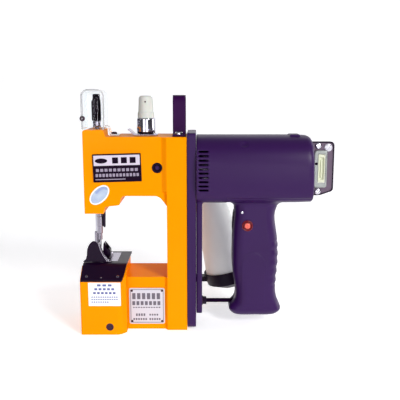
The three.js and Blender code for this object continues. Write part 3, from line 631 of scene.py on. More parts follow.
HOUSING_LOW, HOUSING_HIGH = corners_of("housing_front")
MAIN_Z = 172.0               # height of the barrel's axis
BARREL_HALF_Z = HOUSING_HIGH.z - MAIN_Z
BARREL_HALF_Y = -HOUSING_LOW.y
SQUARENESS = 2.5             # power of the barrel's section: 2 is an ellipse
SKIN = 2.6                   # wall of the shells
HANDLE_HALF_DEPTH = 19.0
HANDLE_ROUNDING = 12.0
BUTTON = (115.0, 112.4)      # lock button's place on the handle, X and Z
STEP_LINE_Z = 143.0          # groove along the barrel, slightly thicker below it
STEP_LINE_X = (92, 180)
TIE_ROD_Z = middle_of("tie_rod").z
VENTS, VENT_X = 10, 68.3     # cooling slots in the front shell, one above the other
VENT_LOW, VENT_PITCH = 152.6, 4.4

# Front view of the handle, from its top left round the flared foot to its top right.
HANDLE_OUTLINE = through([
    (98, 147), (101.2, 132), (101.5, 124), (100.5, 110), (99.7, 92), (100.0, 64), (103.3, 39),
    (102.4, 28.5), (97.0, 21), (97.3, 15.4), (105, 10.5), (124, 10.1), (142.5, 10.4),
    (150.6, 13.8), (153.1, 18.8), (149.6, 27.5), (147.2, 38), (147.5, 52), (149.0, 74),
    (148.2, 96), (145.2, 116), (145.2, 125), (147.6, 133), (152, 147),
])


def housing_fields(x, y, z):
    """Distances in millimetres to the barrel, the handle and the leg beside the belt cover."""
    squareness = SQUARENESS + 1.2 * np.clip((MAIN_Z - z) / 30, 0, 1)
    across = (np.abs(y) / BARREL_HALF_Y) ** squareness
    upright = (np.abs(z - MAIN_Z) / BARREL_HALF_Z) ** squareness
    barrel = ((across + upright) ** (1 / squareness) - 1) * BARREL_HALF_Y
    barrel = barrel + 0.7 * np.clip((x - 150) / 32, 0, 1) ** 2          # slight taper
    skirt = np.clip((STEP_LINE_Z + 0.4 - z) / 0.8, 0, 1) * (x > STEP_LINE_X[0])
    line = (np.exp(-((z - STEP_LINE_Z) / 0.7) ** 2)
            * (x > STEP_LINE_X[0]) * (x < STEP_LINE_X[1]))
    barrel = barrel + 0.25 * skirt + 0.4 * line
    # a raised pad on top, near the far end
    pad = np.maximum(np.maximum(np.abs(x - 164) - 5, np.abs(y + 4) - 9), np.abs(z - 203) - 5.4)
    barrel = smooth_min(barrel, pad, 1.2)
    # the far end is rounder at the top than below
    top_end = smooth_max(barrel, x - HOUSING_HIGH.x, 8)
    low_end = smooth_max(barrel, x - HOUSING_HIGH.x, 2.4)
    share = np.clip((z - MAIN_Z) / 30 * 0.5 + 0.5, 0, 1)
    barrel = top_end * share + low_end * (1 - share)
    barrel = smooth_max(barrel, HOUSING_LOW.x - x, 1.2)

    flat = distance_to_outline(HANDLE_OUTLINE, x[:, 0, :], z[:, 0, :])[:, None, :]
    inward = flat + HANDLE_ROUNDING
    side = np.abs(y) - HANDLE_HALF_DEPTH + HANDLE_ROUNDING
    handle = (np.minimum(np.maximum(inward, side), 0)
              + np.hypot(np.maximum(inward, 0), np.maximum(side, 0)) - HANDLE_ROUNDING)
    # finger ribs along its right edge
    ribs = np.cos((z - 50) / 10 * 2 * np.pi) * (np.abs(z - 70) < 25) * np.clip((x - 138) / 4, 0, 1)
    handle = handle - 0.4 * ribs
    # the palm swell on both faces, its arched top seen as a faint line
    arch = np.hypot(x - 122, np.maximum(z - 66, 0) / 1.3) - 13.5
    handle = handle - 0.45 * np.clip(-arch / 1.2, 0, 1) * (z > 24)

    leg = np.maximum(np.maximum(np.abs(y) - 24, x - 67), np.maximum(HOUSING_LOW.x - x, z - 160))
    corner = np.hypot(np.maximum(np.abs(y) - 18, 0), np.maximum(21.4 - z, 0)) - 6
    return barrel, handle, smooth_max(leg, corner, 0.8)


def housing_field(x, y, z):
    """Distance to the hollow housing with its openings."""
    barrel, handle, leg = housing_fields(x, y, z)
    body = smooth_min(smooth_min(barrel, handle, 5), leg, 2.5)
    body = np.maximum(body, HOUSING_LOW.x - x)
    shell = np.maximum(body, -(np.minimum(barrel, handle) + SKIN))

    def bore(u, v, radius):
        return radius - np.hypot(u, v)

    openings = [
        # the motor's shaft, the counter shaft and the tie rod
        np.minimum(bore(y, z - MAIN_Z, 8), 64 - x),
        np.minimum(bore(y - 16, z - MAIN_Z, 5.3), 64 - x),
        np.minimum(bore(y, z - TIE_ROD_Z, 2.8), 106 - x),
        # the trigger's window in the handle's left side
        np.minimum(np.minimum(7.4 - np.abs(y), 106 - x), 15.8 - np.abs(z - 111)),
        # the lock button's hole in the front shell
        np.minimum(bore(x - BUTTON[0], z - BUTTON[1], 4.9), -10 - y),
        # a thumb notch on the barrel's front shoulder
        9.0 - np.sqrt((x - 110) ** 2 + (y + 32) ** 2 + (z - 205) ** 2),
    ]
    for i in range(VENTS):
        reach = np.maximum(np.abs(x - VENT_X) - 4.3, 0)
        slot = 0.95 - np.hypot(reach, z - VENT_LOW - i * VENT_PITCH)
        openings.append(np.minimum(slot, -20 - y))
    for opening in openings:
        shell = np.maximum(shell, opening)
    return shell


def housing():
    """The two shells of the barrel and the handle, parted at Y = 0."""
    cell = 0.8
    margin = 2 * cell
    low = [HOUSING_LOW.x - margin, HOUSING_LOW.y - margin, HOUSING_LOW.z - margin]
    high = [HOUSING_HIGH.x + margin, BARREL_HALF_Y + margin, HOUSING_HIGH.z + margin]
    ticks = [np.arange(a, b + cell, cell, dtype=np.float32) for a, b in zip(low, high)]
    x, y, z = np.meshgrid(*ticks, indexing="ij")
    whole = housing_field(x, y, z)
    for name, side in (("housing_front", y + GAP / 2), ("housing_back", GAP / 2 - y)):
        verts, faces = surface_net(np.maximum(whole, side), low, cell)
        mesh = bpy.data.meshes.new(name + "_shell")
        mesh.from_pydata(verts * MM, [], faces.tolist())
        mesh.shade_smooth()
        mesh.materials.append(VIOLET.material)
        obj = linked(name + "_shell", mesh)
        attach(obj, "frame")
        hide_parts(name)


def handle_fittings():
    x, z = BUTTON
    front = -HANDLE_HALF_DEPTH
    screw("handle_screw", (109.3, front + 0.2, 126.7), "front", 1.5, 0.9, CHROME)
    collar = turned("lock_button_collar", "y", BUTTON, raised(front, [
        (-0.9, 4.75), (-1.2, 5.2), (-0.9, 5.7), (0.5, 5.8), (0.5, 4.75)]), 48, closed=True)
    add(collar, DARK_RED)
    button = turned("lock_button_body", "y", BUTTON, raised(front, [
        (-0.9, 0), (-0.9, 3.1), (-1.6, 3.4), (-1.4, 4.0), (-0.6, 4.35), (3.2, 4.35), (3.2, 5.9),
        (5.4, 5.9), (5.4, 0)]), 48)
    add(button, DARK_RED, body="lock_key", replaces="lock_button")
    cap = turned("lock_button_cap", "y", BUTTON, raised(front, [
        (-1.75, 0), (-1.75, 2.5), (-1.5, 2.9), (-0.95, 3.0), (-0.95, 0)]), 48)
    slot = block("tool", (x - 0.3, front - 3, z - 2.0), (x + 0.3, front - 1.4, z + 2.0))
    add(cut(cap, slot), RED, body="lock_key", replaces="lock_button")


def housing_screws():
    """Screws that hold the two shells together, seen from the back."""
    on_barrel = ((70, 197), (172, 197), (172, 147))
    under_barrel = ((108, 138), (141, 138))
    on_handle = ((112, 70), (128, 20))
    for i, (x, z) in enumerate(on_barrel + under_barrel + on_handle):
        if (x, z) in on_barrel:
            lift = 1 - (abs(z - MAIN_Z) / BARREL_HALF_Z) ** SQUARENESS
            back = BARREL_HALF_Y * lift ** (1 / SQUARENESS)
        else:
            back = 21 if (x, z) in under_barrel else HANDLE_HALF_DEPTH - 0.2
        screw(f"housing_screw_{i + 1}", (x, back - 1.0, z), "back", 2.6, 1.5, DARK_STEEL)


def tie_rod():
    low, high = corners_of("tie_rod")
    radius, pitch = 2.5, 0.8
    axis = (0, TIE_ROD_Z)
    profile = [(low.x, 0), (low.x, radius - 0.4)]
    for i in range(int((high.x - low.x - 1) / pitch)):
        along = low.x + 0.5 + i * pitch
        profile += [(along, radius - 0.35), (along + pitch / 2, radius)]
    profile += [(high.x, radius - 0.4), (high.x, 0)]
    add(turned("tie_rod_thread", "x", axis, profile, 32), BLACK_STEEL, replaces="tie_rod")
    nut = prism("tie_rod_nut", "x", disc(*axis, 4.5, 6), 67.3, 71.8)
    add(nut, BLACK_STEEL, bevel=0.5, replaces="tie_rod")
    washer = turned("tie_rod_washer", "x", axis, [
        (67.1, 2.6), (67.1, 5.2), (68, 5.2), (68, 2.6)], 40, closed=True)
    add(washer, DARK_STEEL, bevel=0.15)


housing()
handle_fittings()
housing_screws()
tie_rod()


# ---- motor end panel

def end_panel():
    low, high = corners_of("end_bracket")
    face = low.y
    panel = rounded([(low.x, 142.5), (193, 142.5, 3), (high.x, 147.5, 3), (high.x, 200.4, 5),
                     (low.x, 200.4)])
    inset = rounded([(low.x + 0.1, 143.9), (192.7, 143.9, 3), (high.x - 1.5, 148.5, 3),
                     (high.x - 1.5, 198.9, 4.5), (low.x + 0.1, 198.9)])
    rim = band("end_panel_rim", "y", panel, inset, face - 0.5, face + 0.1)
    add(rim, BLACK_PLASTIC, bevel=0.2, segments=2)
    screw("end_panel_corner_screw", (200.9, face, 193.9), "front", 4.2, 1.6, ALUMINIUM,
          cross=False, slot_angle=50)
    screw("end_panel_top_screw", (190.3, face, 195.8), "front", 3.4, 1.7, CHROME, slot_angle=0)
    screw("end_panel_low_screw", (191.0, face, 146.9), "front", 3.4, 1.7, CHROME, slot_angle=90)

    low, high = corners_of("inlet_bezel")
    front = low.y - 0.6
    bezel = band("inlet_frame", "y", drawn_in(low, high, 0, 3.2),
                 rectangle((190.4, 156), (198.4, 187), 1.4), low.y, high.y)
    add(bezel, GREY_ALUMINIUM, bevel=0.7, replaces="inlet_bezel")
    low, high = corners_of("inlet_insert")
    socket = prism("inlet_socket", "y", drawn_in(low, high, 0, 1.2), low.y, high.y)
    cut(socket, tile("tool", (192.2, 159.5), (196.8, 183.5), 1.2, -6, -1.6))
    add(socket, CREAM, bevel=0.3, replaces="inlet_insert")
    tongue = tile("inlet_tongue", (193.7, 162), (195.3, 181), 0.6, -3.2, -1.5)
    add(tongue, CREAM, bevel=0.25)
    eye = turned("panel_cable_eye", "y", (188.4, 176.8), [
        (front, 0), (front, 1.1), (front + 0.4, 1.5), (face + 0.2, 1.5), (face + 0.2, 0)], 32)
    add(eye, INK)


end_panel()


# ---- needle bar cover and cap

COVER_RIGHT = -34.4          # right side of the dome; its foot reaches further


def dome_rings(inset, low, high):
    """Rounded rectangles going up from the head's top and closing in over the cover's top."""
    radius = 7.0 - inset
    level = high.z - inset - radius
    heights = [(HEAD_TOP + GAP, 0.0), (level, 0.0)]
    for k in range(1, 9):
        a = k / 8 * math.pi / 2
        heights.append((level + radius * math.sin(a), radius * (1 - math.cos(a))))
    rings = []
    for z, pull in heights:
        edge = inset + pull
        plan = rectangle((low.x + edge, low.y + edge), (COVER_RIGHT - edge, high.y - edge),
                         max(8.0 - inset - pull * 0.6, 1.2), 8)
        rings.append(ring("z", plan, z))
    return rings


def needle_bar_cover():
    low, high = corners_of("needle_bar_cover")
    outside, inside = dome_rings(0, low, high), dome_rings(1.4, low, high)
    add(lofted("needle_cover_dome", outside[::-1] + inside), CLEAR, replaces="needle_bar_cover")
    foot = prism("needle_cover_foot", "y", rounded([
        (-34.2, 217.6), (-34.2, 216.2), (-32.6, 216.0, 1), (-32.0, ARM_TOP + GAP, 1.6),
        (-20.0, ARM_TOP + GAP), (-20.0, ARM_TOP + 1.5), (-30.6, ARM_TOP + 1.9, 1.4),
        (-31.2, 217.0, 1)]), -7, 7)
    add(foot, CLEAR, bevel=0.3, replaces="needle_bar_cover")
    screw("needle_cover_screw", (-26.3, -1.5, ARM_TOP + 1.7), "up", 3.2, 2.3, DARK_STEEL,
          cross=False, slot_angle=10)
    eyelet = turned("needle_cover_eyelet", "y", (-56.2, 225.2), [
        (-20.4, 1.0), (-20.9, 1.5), (-20.9, 2.3), (-20.4, 2.8), (-19.4, 2.8), (-19.4, 1.0)],
        32, closed=True)
    add(eyelet, DARK_STEEL)


def needle_bar_cap():
    low, high = corners_of("needle_bar_cap")
    radius = (high.x - low.x) / 2
    cap = turned("needle_bar_cap_rubber", "z", (middle_of("needle_bar_cap").x, 0), [
        (low.z, 3.5), (low.z, radius - 0.4), (low.z + 0.4, radius), (242.2, radius),
        (243.4, radius - 0.5), (244.6, 4.4), (249.6, 4.3), (high.z, 3.7), (high.z, 0),
        (248.3, 0), (248.3, 3.5)], closed=True)
    add(cap, RUBBER, body="needle_bar_set", replaces="needle_bar_cap")


def needle_bar():
    x = middle_of("needle_bar_cap").x
    rod = turned("needle_bar_rod", "z", (x, 0), [
        (93, 1.35), (93, 1.9), (93.3, 2.1), (100, 2.1), (100.4, 2.75), (108, 2.75), (108.3, 3.2),
        (118.7, 3.2), (119, 2.75), (215.2, 2.75), (215.5, 4.7), (216, 5.0), (217.6, 5.0),
        (217.9, 4.5), (218.7, 4.5), (219.0, 5.0), (221.4, 5.0), (221.9, 4.6), (222, 3.2),
        (248, 3.2), (248, 0), (107, 0), (107, 1.35)], closed=True)
    add(rod, STEEL, body="needle_bar_set", replaces="needle_bar")
    drive = block("needle_bar_drive_block", (x - 5, -4.5, 155), (x + 2.8, 4.5, 163))
    cut(drive, turned("tool", "z", (x, 0), [(150, 0), (150, 2.78), (170, 2.78), (170, 0)], 48))
    add(drive, STEEL, body="needle_bar_set", bevel=0.5, replaces="needle_bar")


def presser_foot():
    low, high = corners_of("presser_foot")
    bar_low, bar_high = corners_of("presser_bar")
    bar_radius = (bar_high.x - bar_low.x) / 2
    bar = (bar_low.x + bar_radius, bar_low.y + bar_radius)
    sleeve = turned("presser_foot_sleeve", "z", bar, [
        (low.z + 2.6, 0), (low.z + 2.6, 3.7), (99.4, 3.7), (high.z, 3.3), (high.z, 2.8),
        (bar_low.z - 0.3, 2.8), (bar_low.z - 0.3, 0)], 48)
    add(sleeve, STEEL, body="presser_set", replaces="presser_foot")
    sole = prism("presser_foot_sole", "z", rounded([
        (low.x, low.y, 3), (-42.6, low.y, 2), (-42.2, -3.0, 1), (-40.6, -3.0, 1),
        (-40.2, low.y, 1.5), (high.x, low.y, 3), (high.x, high.y, 2), (low.x, high.y, 2)]),
        low.z, low.z + 2.3)
    cut(sole, prism("tool", "z", rectangle((-47.0, -2.6), (-40.8, 4.0), 1.2), 60, 90))
    add(sole, BLACK_STEEL, body="presser_set", bevel=0.5, replaces="presser_foot")
    heel = prism("presser_foot_heel", "y", rounded([
        (-41.2, low.z + 2.2), (-40.6, 86, 2), (-40.2, 90.2, 1), (-38.9, 91.2, 0.8),
        (-37.9, 87.4, 1), (-36.9, 84.0, 1), (-34.4, 83.6, 1), (-33.0, 82.6, 1), (-32.8, 78, 1),
        (-33.6, low.z + 2.2)], 5), -6.0, 3.0)
    add(heel, BLACK_STEEL, body="presser_set", bevel=0.6, replaces="presser_foot")


needle_bar_cover()
needle_bar_cap()
needle_bar()
presser_foot()


# ---- oil pump

def oil_pump():
    x = middle_of("oil_pump_collar").x
    centre = (x, 0)
    low, high = corners_of("oil_pump_base")
    sheet = prism("oil_pump_plate", "y", rounded([
        (high.x, ARM_TOP + GAP), (high.x, ARM_TOP + 1.5), (-3.6, ARM_TOP + 1.5, 3),
        (low.x + 1.0, high.z), (low.x, high.z - 0.9), (-4.6, ARM_TOP + GAP, 3)], 8), -8.6, 8.6)
    cut(sheet, turned("tool", "z", centre, [(200, 0), (200, 6.6), (212, 6.6), (212, 0)], 48))
    add(sheet, STEEL, bevel=0.25, replaces="oil_pump_base")

    low, high = corners_of("oil_pump_collar")
    gasket = turned("oil_pump_gasket", "z", centre, softened(raised(low.z, [
        (0, 3.6), (0, 9.3), (2.0, 9.3), (2.0, 3.6)]), 0.4), closed=True)
    add(gasket, RUBBER, replaces="oil_pump_collar")
    outer = (high.x - low.x) / 2
    skirt = turned("oil_pump_collar_skirt", "z", centre, raised(low.z + 2.1, [
        (0, 8.9), (0, outer - 0.3), (0.3, outer), (1.2, outer), (1.5, outer - 0.35),
        (1.9, outer - 0.35), (2.2, outer), (12.8, outer), (13.7, outer - 0.35),
        (14.2, outer - 1.0), (14.2, 8.9)]), 96, closed=True)
    add(skirt, CHROME, replaces="oil_pump_collar")

    low, high = corners_of("oil_pump_nozzle")
    head = turned("oil_pump_head", "z", centre, [
        (low.z, 0), (low.z, 3.1), (218.4, 3.1), (218.4, 8.3), (218.7, 8.6), (229.4, 8.75),
        (230.6, 8.6), (231.2, 8.1), (231.8, 7.95), (245.4, 7.35), (246.9, 6.9), (247.9, 5.9),
        (high.z, 4.2), (high.z - 0.25, 2.6), (high.z - 0.3, 0)], 96)
    mouth = (x, 242)
    cut(head, turned("tool", "y", mouth, [(-12, 0), (-12, 0.95), (-6, 0.95), (-6, 0)], 24))
    add(head, PUMP_PLASTIC, body="pump_head", replaces="oil_pump_nozzle")
    jet = turned("oil_pump_jet", "y", mouth, [
        (-7.35, 0.25), (-7.35, 0.8), (-6.2, 0.85), (-6.2, 0.25)], 24, closed=True)
    add(jet, DARK_STEEL, body="pump_head")
    screw("oil_pump_plate_screw", (16.8, -5.4, ARM_TOP + 1.5), "up", 1.8, 1.1, CHROME)


oil_pump()


# ---- hanger bail

def hanger_bail():
    low, high = corners_of("hanger_bail")
    sheet, leg, top = 2.2, 13.8, high.z
    foot = low.z + sheet
    inner = leg - sheet - 0.2
    strip = prism("hanger_bail_strip", "x", rounded([
        (low.y, low.z), (-inner, low.z), (-inner, top - sheet, 5), (inner, top - sheet, 5),
        (inner, low.z), (high.y, low.z), (high.y, foot), (leg, foot, 0.8),
        (leg, top, 7.4), (-leg, top, 7.4), (-leg, foot, 0.8), (low.y, foot)], 10),
        low.x, high.x)
    add(strip, PLUM_STEEL, bevel=0.45, replaces="hanger_bail")
    x = (low.x + high.x) / 2
    for side, name in ((-1, "front"), (1, "back")):
        head = screw(f"hanger_{name}_screw", (x, side * 18.8, foot), "up", 4.1, 3.1, CHROME,
                     slot_angle=15)
        if name == "front":
            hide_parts("hanger_screw")


hanger_bail()


# ---- bag guide and foot guard

def bag_guide():
    low, high = corners_of("bag_guide")
    sheet, crease, top = 1.8, -25.5, high.z
    bent = prism("bag_guide_sheet", "x", rounded([
        (high.y, top - sheet), (crease, top - sheet, 2.6), (low.y + 0.6, low.z),
        (low.y, low.z + 1.0), (low.y, low.z + sheet), (crease, top, 4.0), (high.y, top)], 6),
        low.x, high.x)
    plan = prism("tool", "z", rounded([
        (low.x, low.y - 1, 1), (high.x - 3.4, low.y - 1, 5), (high.x, crease, 4),
        (high.x, high.y + 1, 1), (low.x, high.y + 1, 1)], 6), 50, 80)
    combined(bent, "INTERSECT", plan)
    cut(bent, prism("tool", "z", rectangle((-56.3, -15.3), (-23.7, 21.3), 1.0), 60, 80))
    add(bent, BLACK_STEEL, bevel=0.4, replaces="bag_guide")
    slope = math.atan2(top - sheet - low.z, crease - low.y - 0.6)
    tilt = Matrix.Rotation(slope, 4, "X")
    screws = ((-53.6, -38.2, 1.7), (-38.3, -39.4, 1.3), (-21.2, -38.2, 1.8))
    for i, (x, y, radius) in enumerate(screws):
        height = top - (crease - y) * math.tan(slope)
        screw(f"guide_screw_{i + 1}", (x, y, height - 0.1), tilt, radius, 0.5, cross=False,
              slot_angle=80)


def foot_guard():
    low, high = corners_of("foot_guard")
    foot = low.z
    bell = through([
        (-59.0, foot + 0.1), (-57.4, 76), (-56.0, 81), (-55.4, 87.0), (-53.2, 92.2),
        (-49.8, 95.5), (-46.6, 95.5), (-44.2, 93.4), (-42.2, 90.0), (-40.5, 84.7),
        (-38.0, 79.2), (-35.0, foot + 0.1)], 5)
    outline = [p for p in bell if p[1] >= foot]
    front = prism("foot_guard_sheet", "y", outline, low.y, low.y + 1.6)
    add(front, BLACK_STEEL, bevel=0.45, replaces="foot_guard")
    edge = spline([
        (-43.4, 93.6), (-41.9, 88.2), (-39.9, 83.2), (-36.9, 77.4), (-34.0, foot + 0.9),
        (-31.8, foot + 0.5), (-30.0, 75.4), (-29.0, 79.0), (-29.6, 83.6)], 5)
    rim = ribbon("foot_guard_rim", edge, 0.8, low.y - 0.1, high.y)
    add(rim, STEEL, bevel=0.2, replaces="foot_guard")


bag_guide()
foot_guard()


# ---- thread cone and its tray

CONE_FOOT = Vector((98.5, 66.5, 41.0))
CONE_TILT = -15
STAND = shift(*CONE_FOOT) @ Matrix.Rotation(math.radians(CONE_TILT), 4, "Y")


def thread_cone():
    foot, top, height, pitch = 27.0, 15.0, 118.0, 1.6
    profile = [(-1.5, 9.2), (-1.5, foot - 2.0), (-0.6, foot - 0.8), (0.8, foot - 0.15)]
    for i in range(int((height - 3) / pitch)):
        along = 1.6 + i * pitch
        radius = foot + (top - foot) * along / height
        profile += [(along, radius - 0.16), (along + pitch / 2, radius)]
    profile += [(height - 0.4, top - 0.1), (height + 0.8, top - 1.2), (height + 1.0, 9.2)]
    cone = turned("thread_winding", "z", (0, 0), profile, 112, closed=True)
    add(moved(cone, STAND), THREAD, body="cone_of_thread", replaces="thread_cone")
    core = turned("thread_core", "z", (0, 0), [
        (-1.5, 8.0), (-1.5, 9.1), (119.0, 9.1), (119.0, 8.0)], closed=True)
    add(moved(core, STAND), CREAM, body="cone_of_thread", bevel=0.3)


def cone_tray():
    dish = turned("cone_tray_dish", "z", (0, 0), softened([
        (-21, 0), (-21, 12), (-12.5, 28.4), (1.2, 29.5), (2.4, 29.5), (2.4, 28.1), (1.2, 27.9),
        (-7.6, 25.2), (-3.2, 3), (-3.2, 0)], 0.8), 96)
    add(moved(dish, STAND), BLACK_PLASTIC, replaces="cone_tray")
    y = CONE_FOOT.y
    arm = prism("cone_tray_arm", "z", rounded([
        (52.2, 30.4), (58.0, 30.4), (58.0, y - 6.0, 5), (75.5, y - 6.0), (75.5, y + 6.0),
        (56.4, y + 6.0, 4), (52.2, y + 1.0, 4)], 8), 26, 32)
    add(arm, BLACK_PLASTIC, bevel=1.0, replaces="cone_tray")
    lug = tile("cone_tray_lug", (51.9, 22.5), (58.3, 41), 2, 30.35, 33.2)
    add(lug, BLACK_PLASTIC, bevel=0.7, replaces="cone_tray")
    screw("cone_tray_screw", (55.1, 33.2, 36.8), "back", 2.6, 1.6)


thread_cone()
cone_tray()


# ---- plates, label and film

def rows_of_bars(rows, face, depth=0.12):
    """Plain blocks in rows that stand for print. A row is (left, right, low, high, count)."""
    bars = []
    for left, right, low, high, count in rows:
        pitch = (right - left) / count
        radius = min(0.25, (high - low) / 4)
        for i in range(count):
            start = left + i * pitch
            bars.append(tile("bar", (start, low), (start + pitch * 0.68, high), radius,
                             face - depth, face, 3))
    return bars


def brand_plate():
    x, _, z = middle_of("brand_plate")
    face = corners_of("brand_plate")[0].y
    tilt = turn(-1.6, "y", (x, 0, z))
    left, right, bottom, top = x - 25, x + 25, z - 14.6, z + 14.6
    plate = tile("brand_plate_base", (left, bottom), (right, top), 0.8, face, face + 1.1)
    add(moved(plate, tilt), INK, bevel=0.2, replaces="brand_plate")
    upper = tile("brand_plate_field", (left + 1.2, z + 2.6), (right - 1.2, top - 1.4), 0.4,
                 face - 0.12, face + 0.05)
    add(moved(upper, tilt), SILVER_PRINT)
    oval = prism("oval", "y", disc(x - 16, z + 7.6, 6.4, 40, up=2.6), face - 0.24, face - 0.1)
    dark = rows_of_bars([(x - 4.6, x + 22.5, z + 4.7, z + 10.9, 3)], face - 0.12)
    add(moved(gathered("brand_plate_marks", [oval, *dark]), tilt), INK)
    light = rows_of_bars([
        (left + 3.2, right - 2.2, z - 3.6, z - 0.6, 10),
        (left + 2.6, right - 1.6, z - 9.0, z - 5.8, 13),
        (left + 2.2, right - 2.0, z - 12.2, z - 11.3, 1)], face)
    add(moved(gathered("brand_plate_print", light), tilt), PALE_INK)


def rating_plate():
    low, high = corners_of("rating_plate")
    x = middle_of("rating_plate").x
    face = low.y
    plate = prism("rating_plate_sheet", "y", drawn_in(low, high, 0, 2.4), face, face + 0.8)
    add(plate, ALUMINIUM, bevel=0.2, replaces="rating_plate")
    border = band("rating_plate_border", "y", drawn_in(low, high, 1.4, 1),
                  drawn_in(low, high, 2.0, 1), face - 0.12, face + 0.02)
    add(border, GREY_INK)
    left, right, bottom, top = low.x + 4.2, high.x - 4.0, low.z, high.z
    bars = rows_of_bars([
        (left - 0.8, right + 0.6, top - 12.4, top - 5.6, 6),
        (left - 0.8, right + 0.6, top - 19.0, top - 14.6, 7),
        (left - 0.2, right, top - 22.2, top - 21.0, 11),
        (x - 12.0, x - 1.2, bottom + 8.8, bottom + 11.6, 4),
        (x + 2.4, x + 12.6, bottom + 9.2, bottom + 11.2, 4),
        (left, x + 0.6, bottom + 4.2, bottom + 6.4, 6),
        (x + 2.4, right, bottom + 4.2, bottom + 6.4, 5)], face)
    add(gathered("rating_plate_print", bars), GREY_INK)
    for i, (u, v) in enumerate(drawn_in(low, high, 3.0, 0)):
        rivet = turned(f"rating_plate_rivet_{i + 1}", "y", (u, v), raised(face, [
            (-0.75, 0), (-0.65, 0.6), (-0.3, 1.15), (0.1, 1.35), (0.1, 0)]), 28)
        add(rivet, DARK_STEEL)


def front_label():
    face = corners_of("looper_cover")[0].y
    left, right, bottom, top = -51.6, -18.0, 31.8, 57.0
    sheet = tile("label_sheet", (left, bottom), (right, top), 0.4, face - 0.18, face + 0.05)
    add(sheet, PAPER)
    # margins at the left and right, drop from the top, height and count
    rows = ((9.2, 7.4, 4.0, 2.2, 3), (6.4, 5.2, 8.2, 2.3, 5), (5.0, 4.0, 12.4, 2.3, 6),
            (3.0, 2.4, 16.2, 1.2, 12), (3.0, 2.4, 18.9, 1.2, 12), (3.0, 12.0, 21.6, 1.2, 8))
    bars = rows_of_bars([(left + a, right - b, top - drop, top - drop + height, count)
                         for a, b, drop, height, count in rows], face - 0.18, 0.08)
    add(gathered("label_print", bars), BLUE_INK)


def oval_film():
    """An oval sheen film on the head, set at 45 degrees."""
    x, z = -39.9, 146.5
    tilt = turn(-45, "y", (x, 0, z))

    def layer(name, outline, front, back, finish):
        made = prism(name, "y", outline, HEAD_FRONT - front, HEAD_FRONT - back)
        add(moved(made, tilt), finish)

    def arc(across, up, start, end):
        return [Vector((x + 1.2 + across * math.cos(a), z + up * math.sin(a)))
                for a in np.linspace(start, end, 24)]

    layer("oval_film_border", disc(x, z, 12.5, 48, up=7.6), 0.2, 0, PAPER)
    layer("oval_film_face", disc(x, z, 11.2, 48, up=6.2), 0.32, 0.15, PEARL)
    crescent = arc(9.6, 5.0, -0.4, 1.9) + arc(7.2, 2.7, 1.9, -0.4)
    layer("oval_film_arc", crescent, 0.42, 0.3, DECAL_BLUE)


def front_plug():
    low, high = corners_of("front_plug")
    centre = (low.x + high.x) / 2, (low.z + high.z) / 2
    radius, deep = (high.x - low.x) / 2, high.y - low.y
    plug = turned("front_plug_cap", "y", centre, raised(low.y, [
        (0, radius - 0.4), (0.4, radius), (deep, radius), (deep, 0), (1.8, 0), (1.8, 2.6),
        (0.9, 3.3), (0.3, radius - 1.3), (0, radius - 0.9)]), 56, closed=True)
    add(plug, BLACK_PLASTIC, replaces="front_plug")
    core = turned("front_plug_core", "y", centre, raised(low.y, [
        (0.5, 0), (0.5, 1.7), (0.9, 2.2), (1.9, 2.3), (1.9, 0)]), 32)
    add(core, VIOLET)


brand_plate()
rating_plate()
front_label()
oval_film()
front_plug()


# ---- screws of the casting

def casting_screws():
    cover = corners_of("looper_cover")[0]
    screw("looper_cover_screw", (-30, cover.y + 0.2, 8.5), "front", 4.1, 0.55, DARK_STEEL,
          cross=False, slot_angle=30)
    screw("looper_cover_side_screw", (cover.x + 0.55, -33, 22), "left", 2.4, 0.5, DARK_STEEL)
    back = corners_of("casting_back_cover")[1].y - 0.1
    places = ((-49, 183), (-49, 137), (10, 194), (41, 194), (41, 120), (41, 60), (41, 12),
              (-4, 12), (-4, 46), (-10, 156))
    for i, (x, z) in enumerate(places):
        screw(f"back_cover_screw_{i + 1}", (x, back, z), "back", 2.6, 1.4, DARK_STEEL,
              slot_angle=25 + 31 * i)


def thread_finger():
    """The dark finger under the head that leads the thread beside the needle bar."""
    finger = prism("thread_finger", "y", rounded([
        (-40.8, 124), (-40.8, 108.4, 0.8), (-38.4, 106.6, 0.8), (-38.0, 124)]), -2.6, 2.6)
    add(finger, BLACK_STEEL, bevel=0.3)


casting_screws()
thread_finger()


# ---- floor, backdrop and light

# How strongly the floor glows behind the machine: a painted brightness that no lamp gives.
FLOOR_GLOW = 0.5


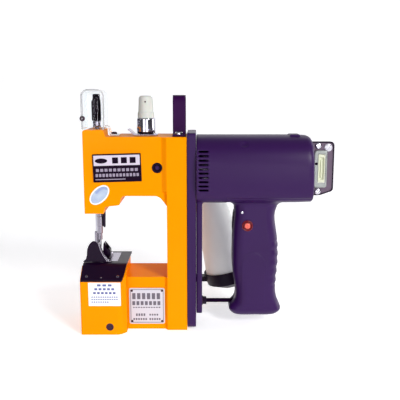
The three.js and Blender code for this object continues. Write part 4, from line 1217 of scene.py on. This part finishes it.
def studio():
    """A pale sweep of floor and backdrop, and soft surroundings that are brighter above."""
    profile = [(-2.5, 0.0)]
    for k in range(17):
        a = k / 16 * math.pi / 2
        profile.append((1.2 + 0.9 * math.sin(a), 0.9 * (1 - math.cos(a))))
    profile.append((2.1, 2.6))
    verts = [(x * 1000, y * 1000, z * 1000 - 0.2) for x in (-2.6, 2.8) for y, z in profile]
    count = len(profile)
    faces = [(i, i + 1, count + i + 1, count + i) for i in range(count - 1)]
    floor = shape("studio_floor", verts, faces)
    floor.data.shade_smooth()
    pale, grey = colour(246, 246, 248), colour(168, 166, 172)
    paper = Finish("backdrop_paper", pale, 0.85, drift=0.01, drift_scale=2, grain_scale=60,
                   bump=0.02, Emission_Color=(1, 1, 1, 1), Specular_IOR_Level=0.1)
    # painted light falloff: the sweep glows pale under and behind the machine and is painted grey
    # in front of it, where it stands for less light
    split = paper.node("ShaderNodeSeparateXYZ")
    paper.link(paper.coords, split.inputs[0])
    fade = paper.node("ShaderNodeMapRange", **{"From Min": -0.8, "From Max": -0.2})
    fade.interpolation_type = "SMOOTHSTEP"
    paper.link(split.outputs["Y"], fade.inputs["Value"])
    tone = paper.blend(fade.outputs["Result"], grey, pale)
    paper.link(tone, paper.shader.inputs["Base Color"])
    glow = paper.node("ShaderNodeMath")
    glow.operation = "MULTIPLY"
    glow.inputs[1].default_value = FLOOR_GLOW
    paper.link(fade.outputs["Result"], glow.inputs[0])
    paper.link(glow.outputs[0], paper.shader.inputs["Emission Strength"])
    floor.data.materials.append(paper.material)

    world = bpy.data.worlds.new("studio")
    bpy.context.scene.world = world
    world.use_nodes = True
    nodes, link = world.node_tree.nodes, world.node_tree.links.new
    coords = nodes.new("ShaderNodeTexCoord")
    split = nodes.new("ShaderNodeSeparateXYZ")
    ramp = nodes.new("ShaderNodeValToRGB")
    low, high = ramp.color_ramp.elements
    low.position, low.color = 0.15, (0.16, 0.15, 0.17, 1)
    high.position, high.color = 0.8, (0.72, 0.72, 0.74, 1)
    link(coords.outputs["Generated"], split.inputs[0])
    link(split.outputs["Z"], ramp.inputs["Fac"])
    link(ramp.outputs["Color"], nodes["Background"].inputs["Color"])
    nodes["Background"].inputs["Strength"].default_value = 0.4


def softbox(name, location, target, size, power):
    lamp = linked(name, bpy.data.lights.new(name, "AREA"))
    lamp.data.shape = "RECTANGLE"
    lamp.data.size, lamp.data.size_y = size
    lamp.data.energy = power
    lamp.location = location
    way = Vector(target) - Vector(location)
    lamp.rotation_euler = way.to_track_quat("-Z", "Y").to_euler()


studio()
MIDDLE = (0.07, 0.0, 0.13)
softbox("key_light", (1.1, -1.45, 1.0), MIDDLE, (0.5, 0.5), 25)
softbox("front_light", (-0.45, -1.5, 0.35), MIDDLE, (0.7, 0.6), 5)
softbox("low_light", (0.42, -1.35, 0.12), (0.12, 0.0, 0.16), (0.3, 0.25), 2.2)
softbox("side_light", (1.3, 0.35, 0.35), (0.1, 0.06, 0.12), (0.5, 0.6), 6)

bpy.context.scene.view_settings.view_transform = "Standard"
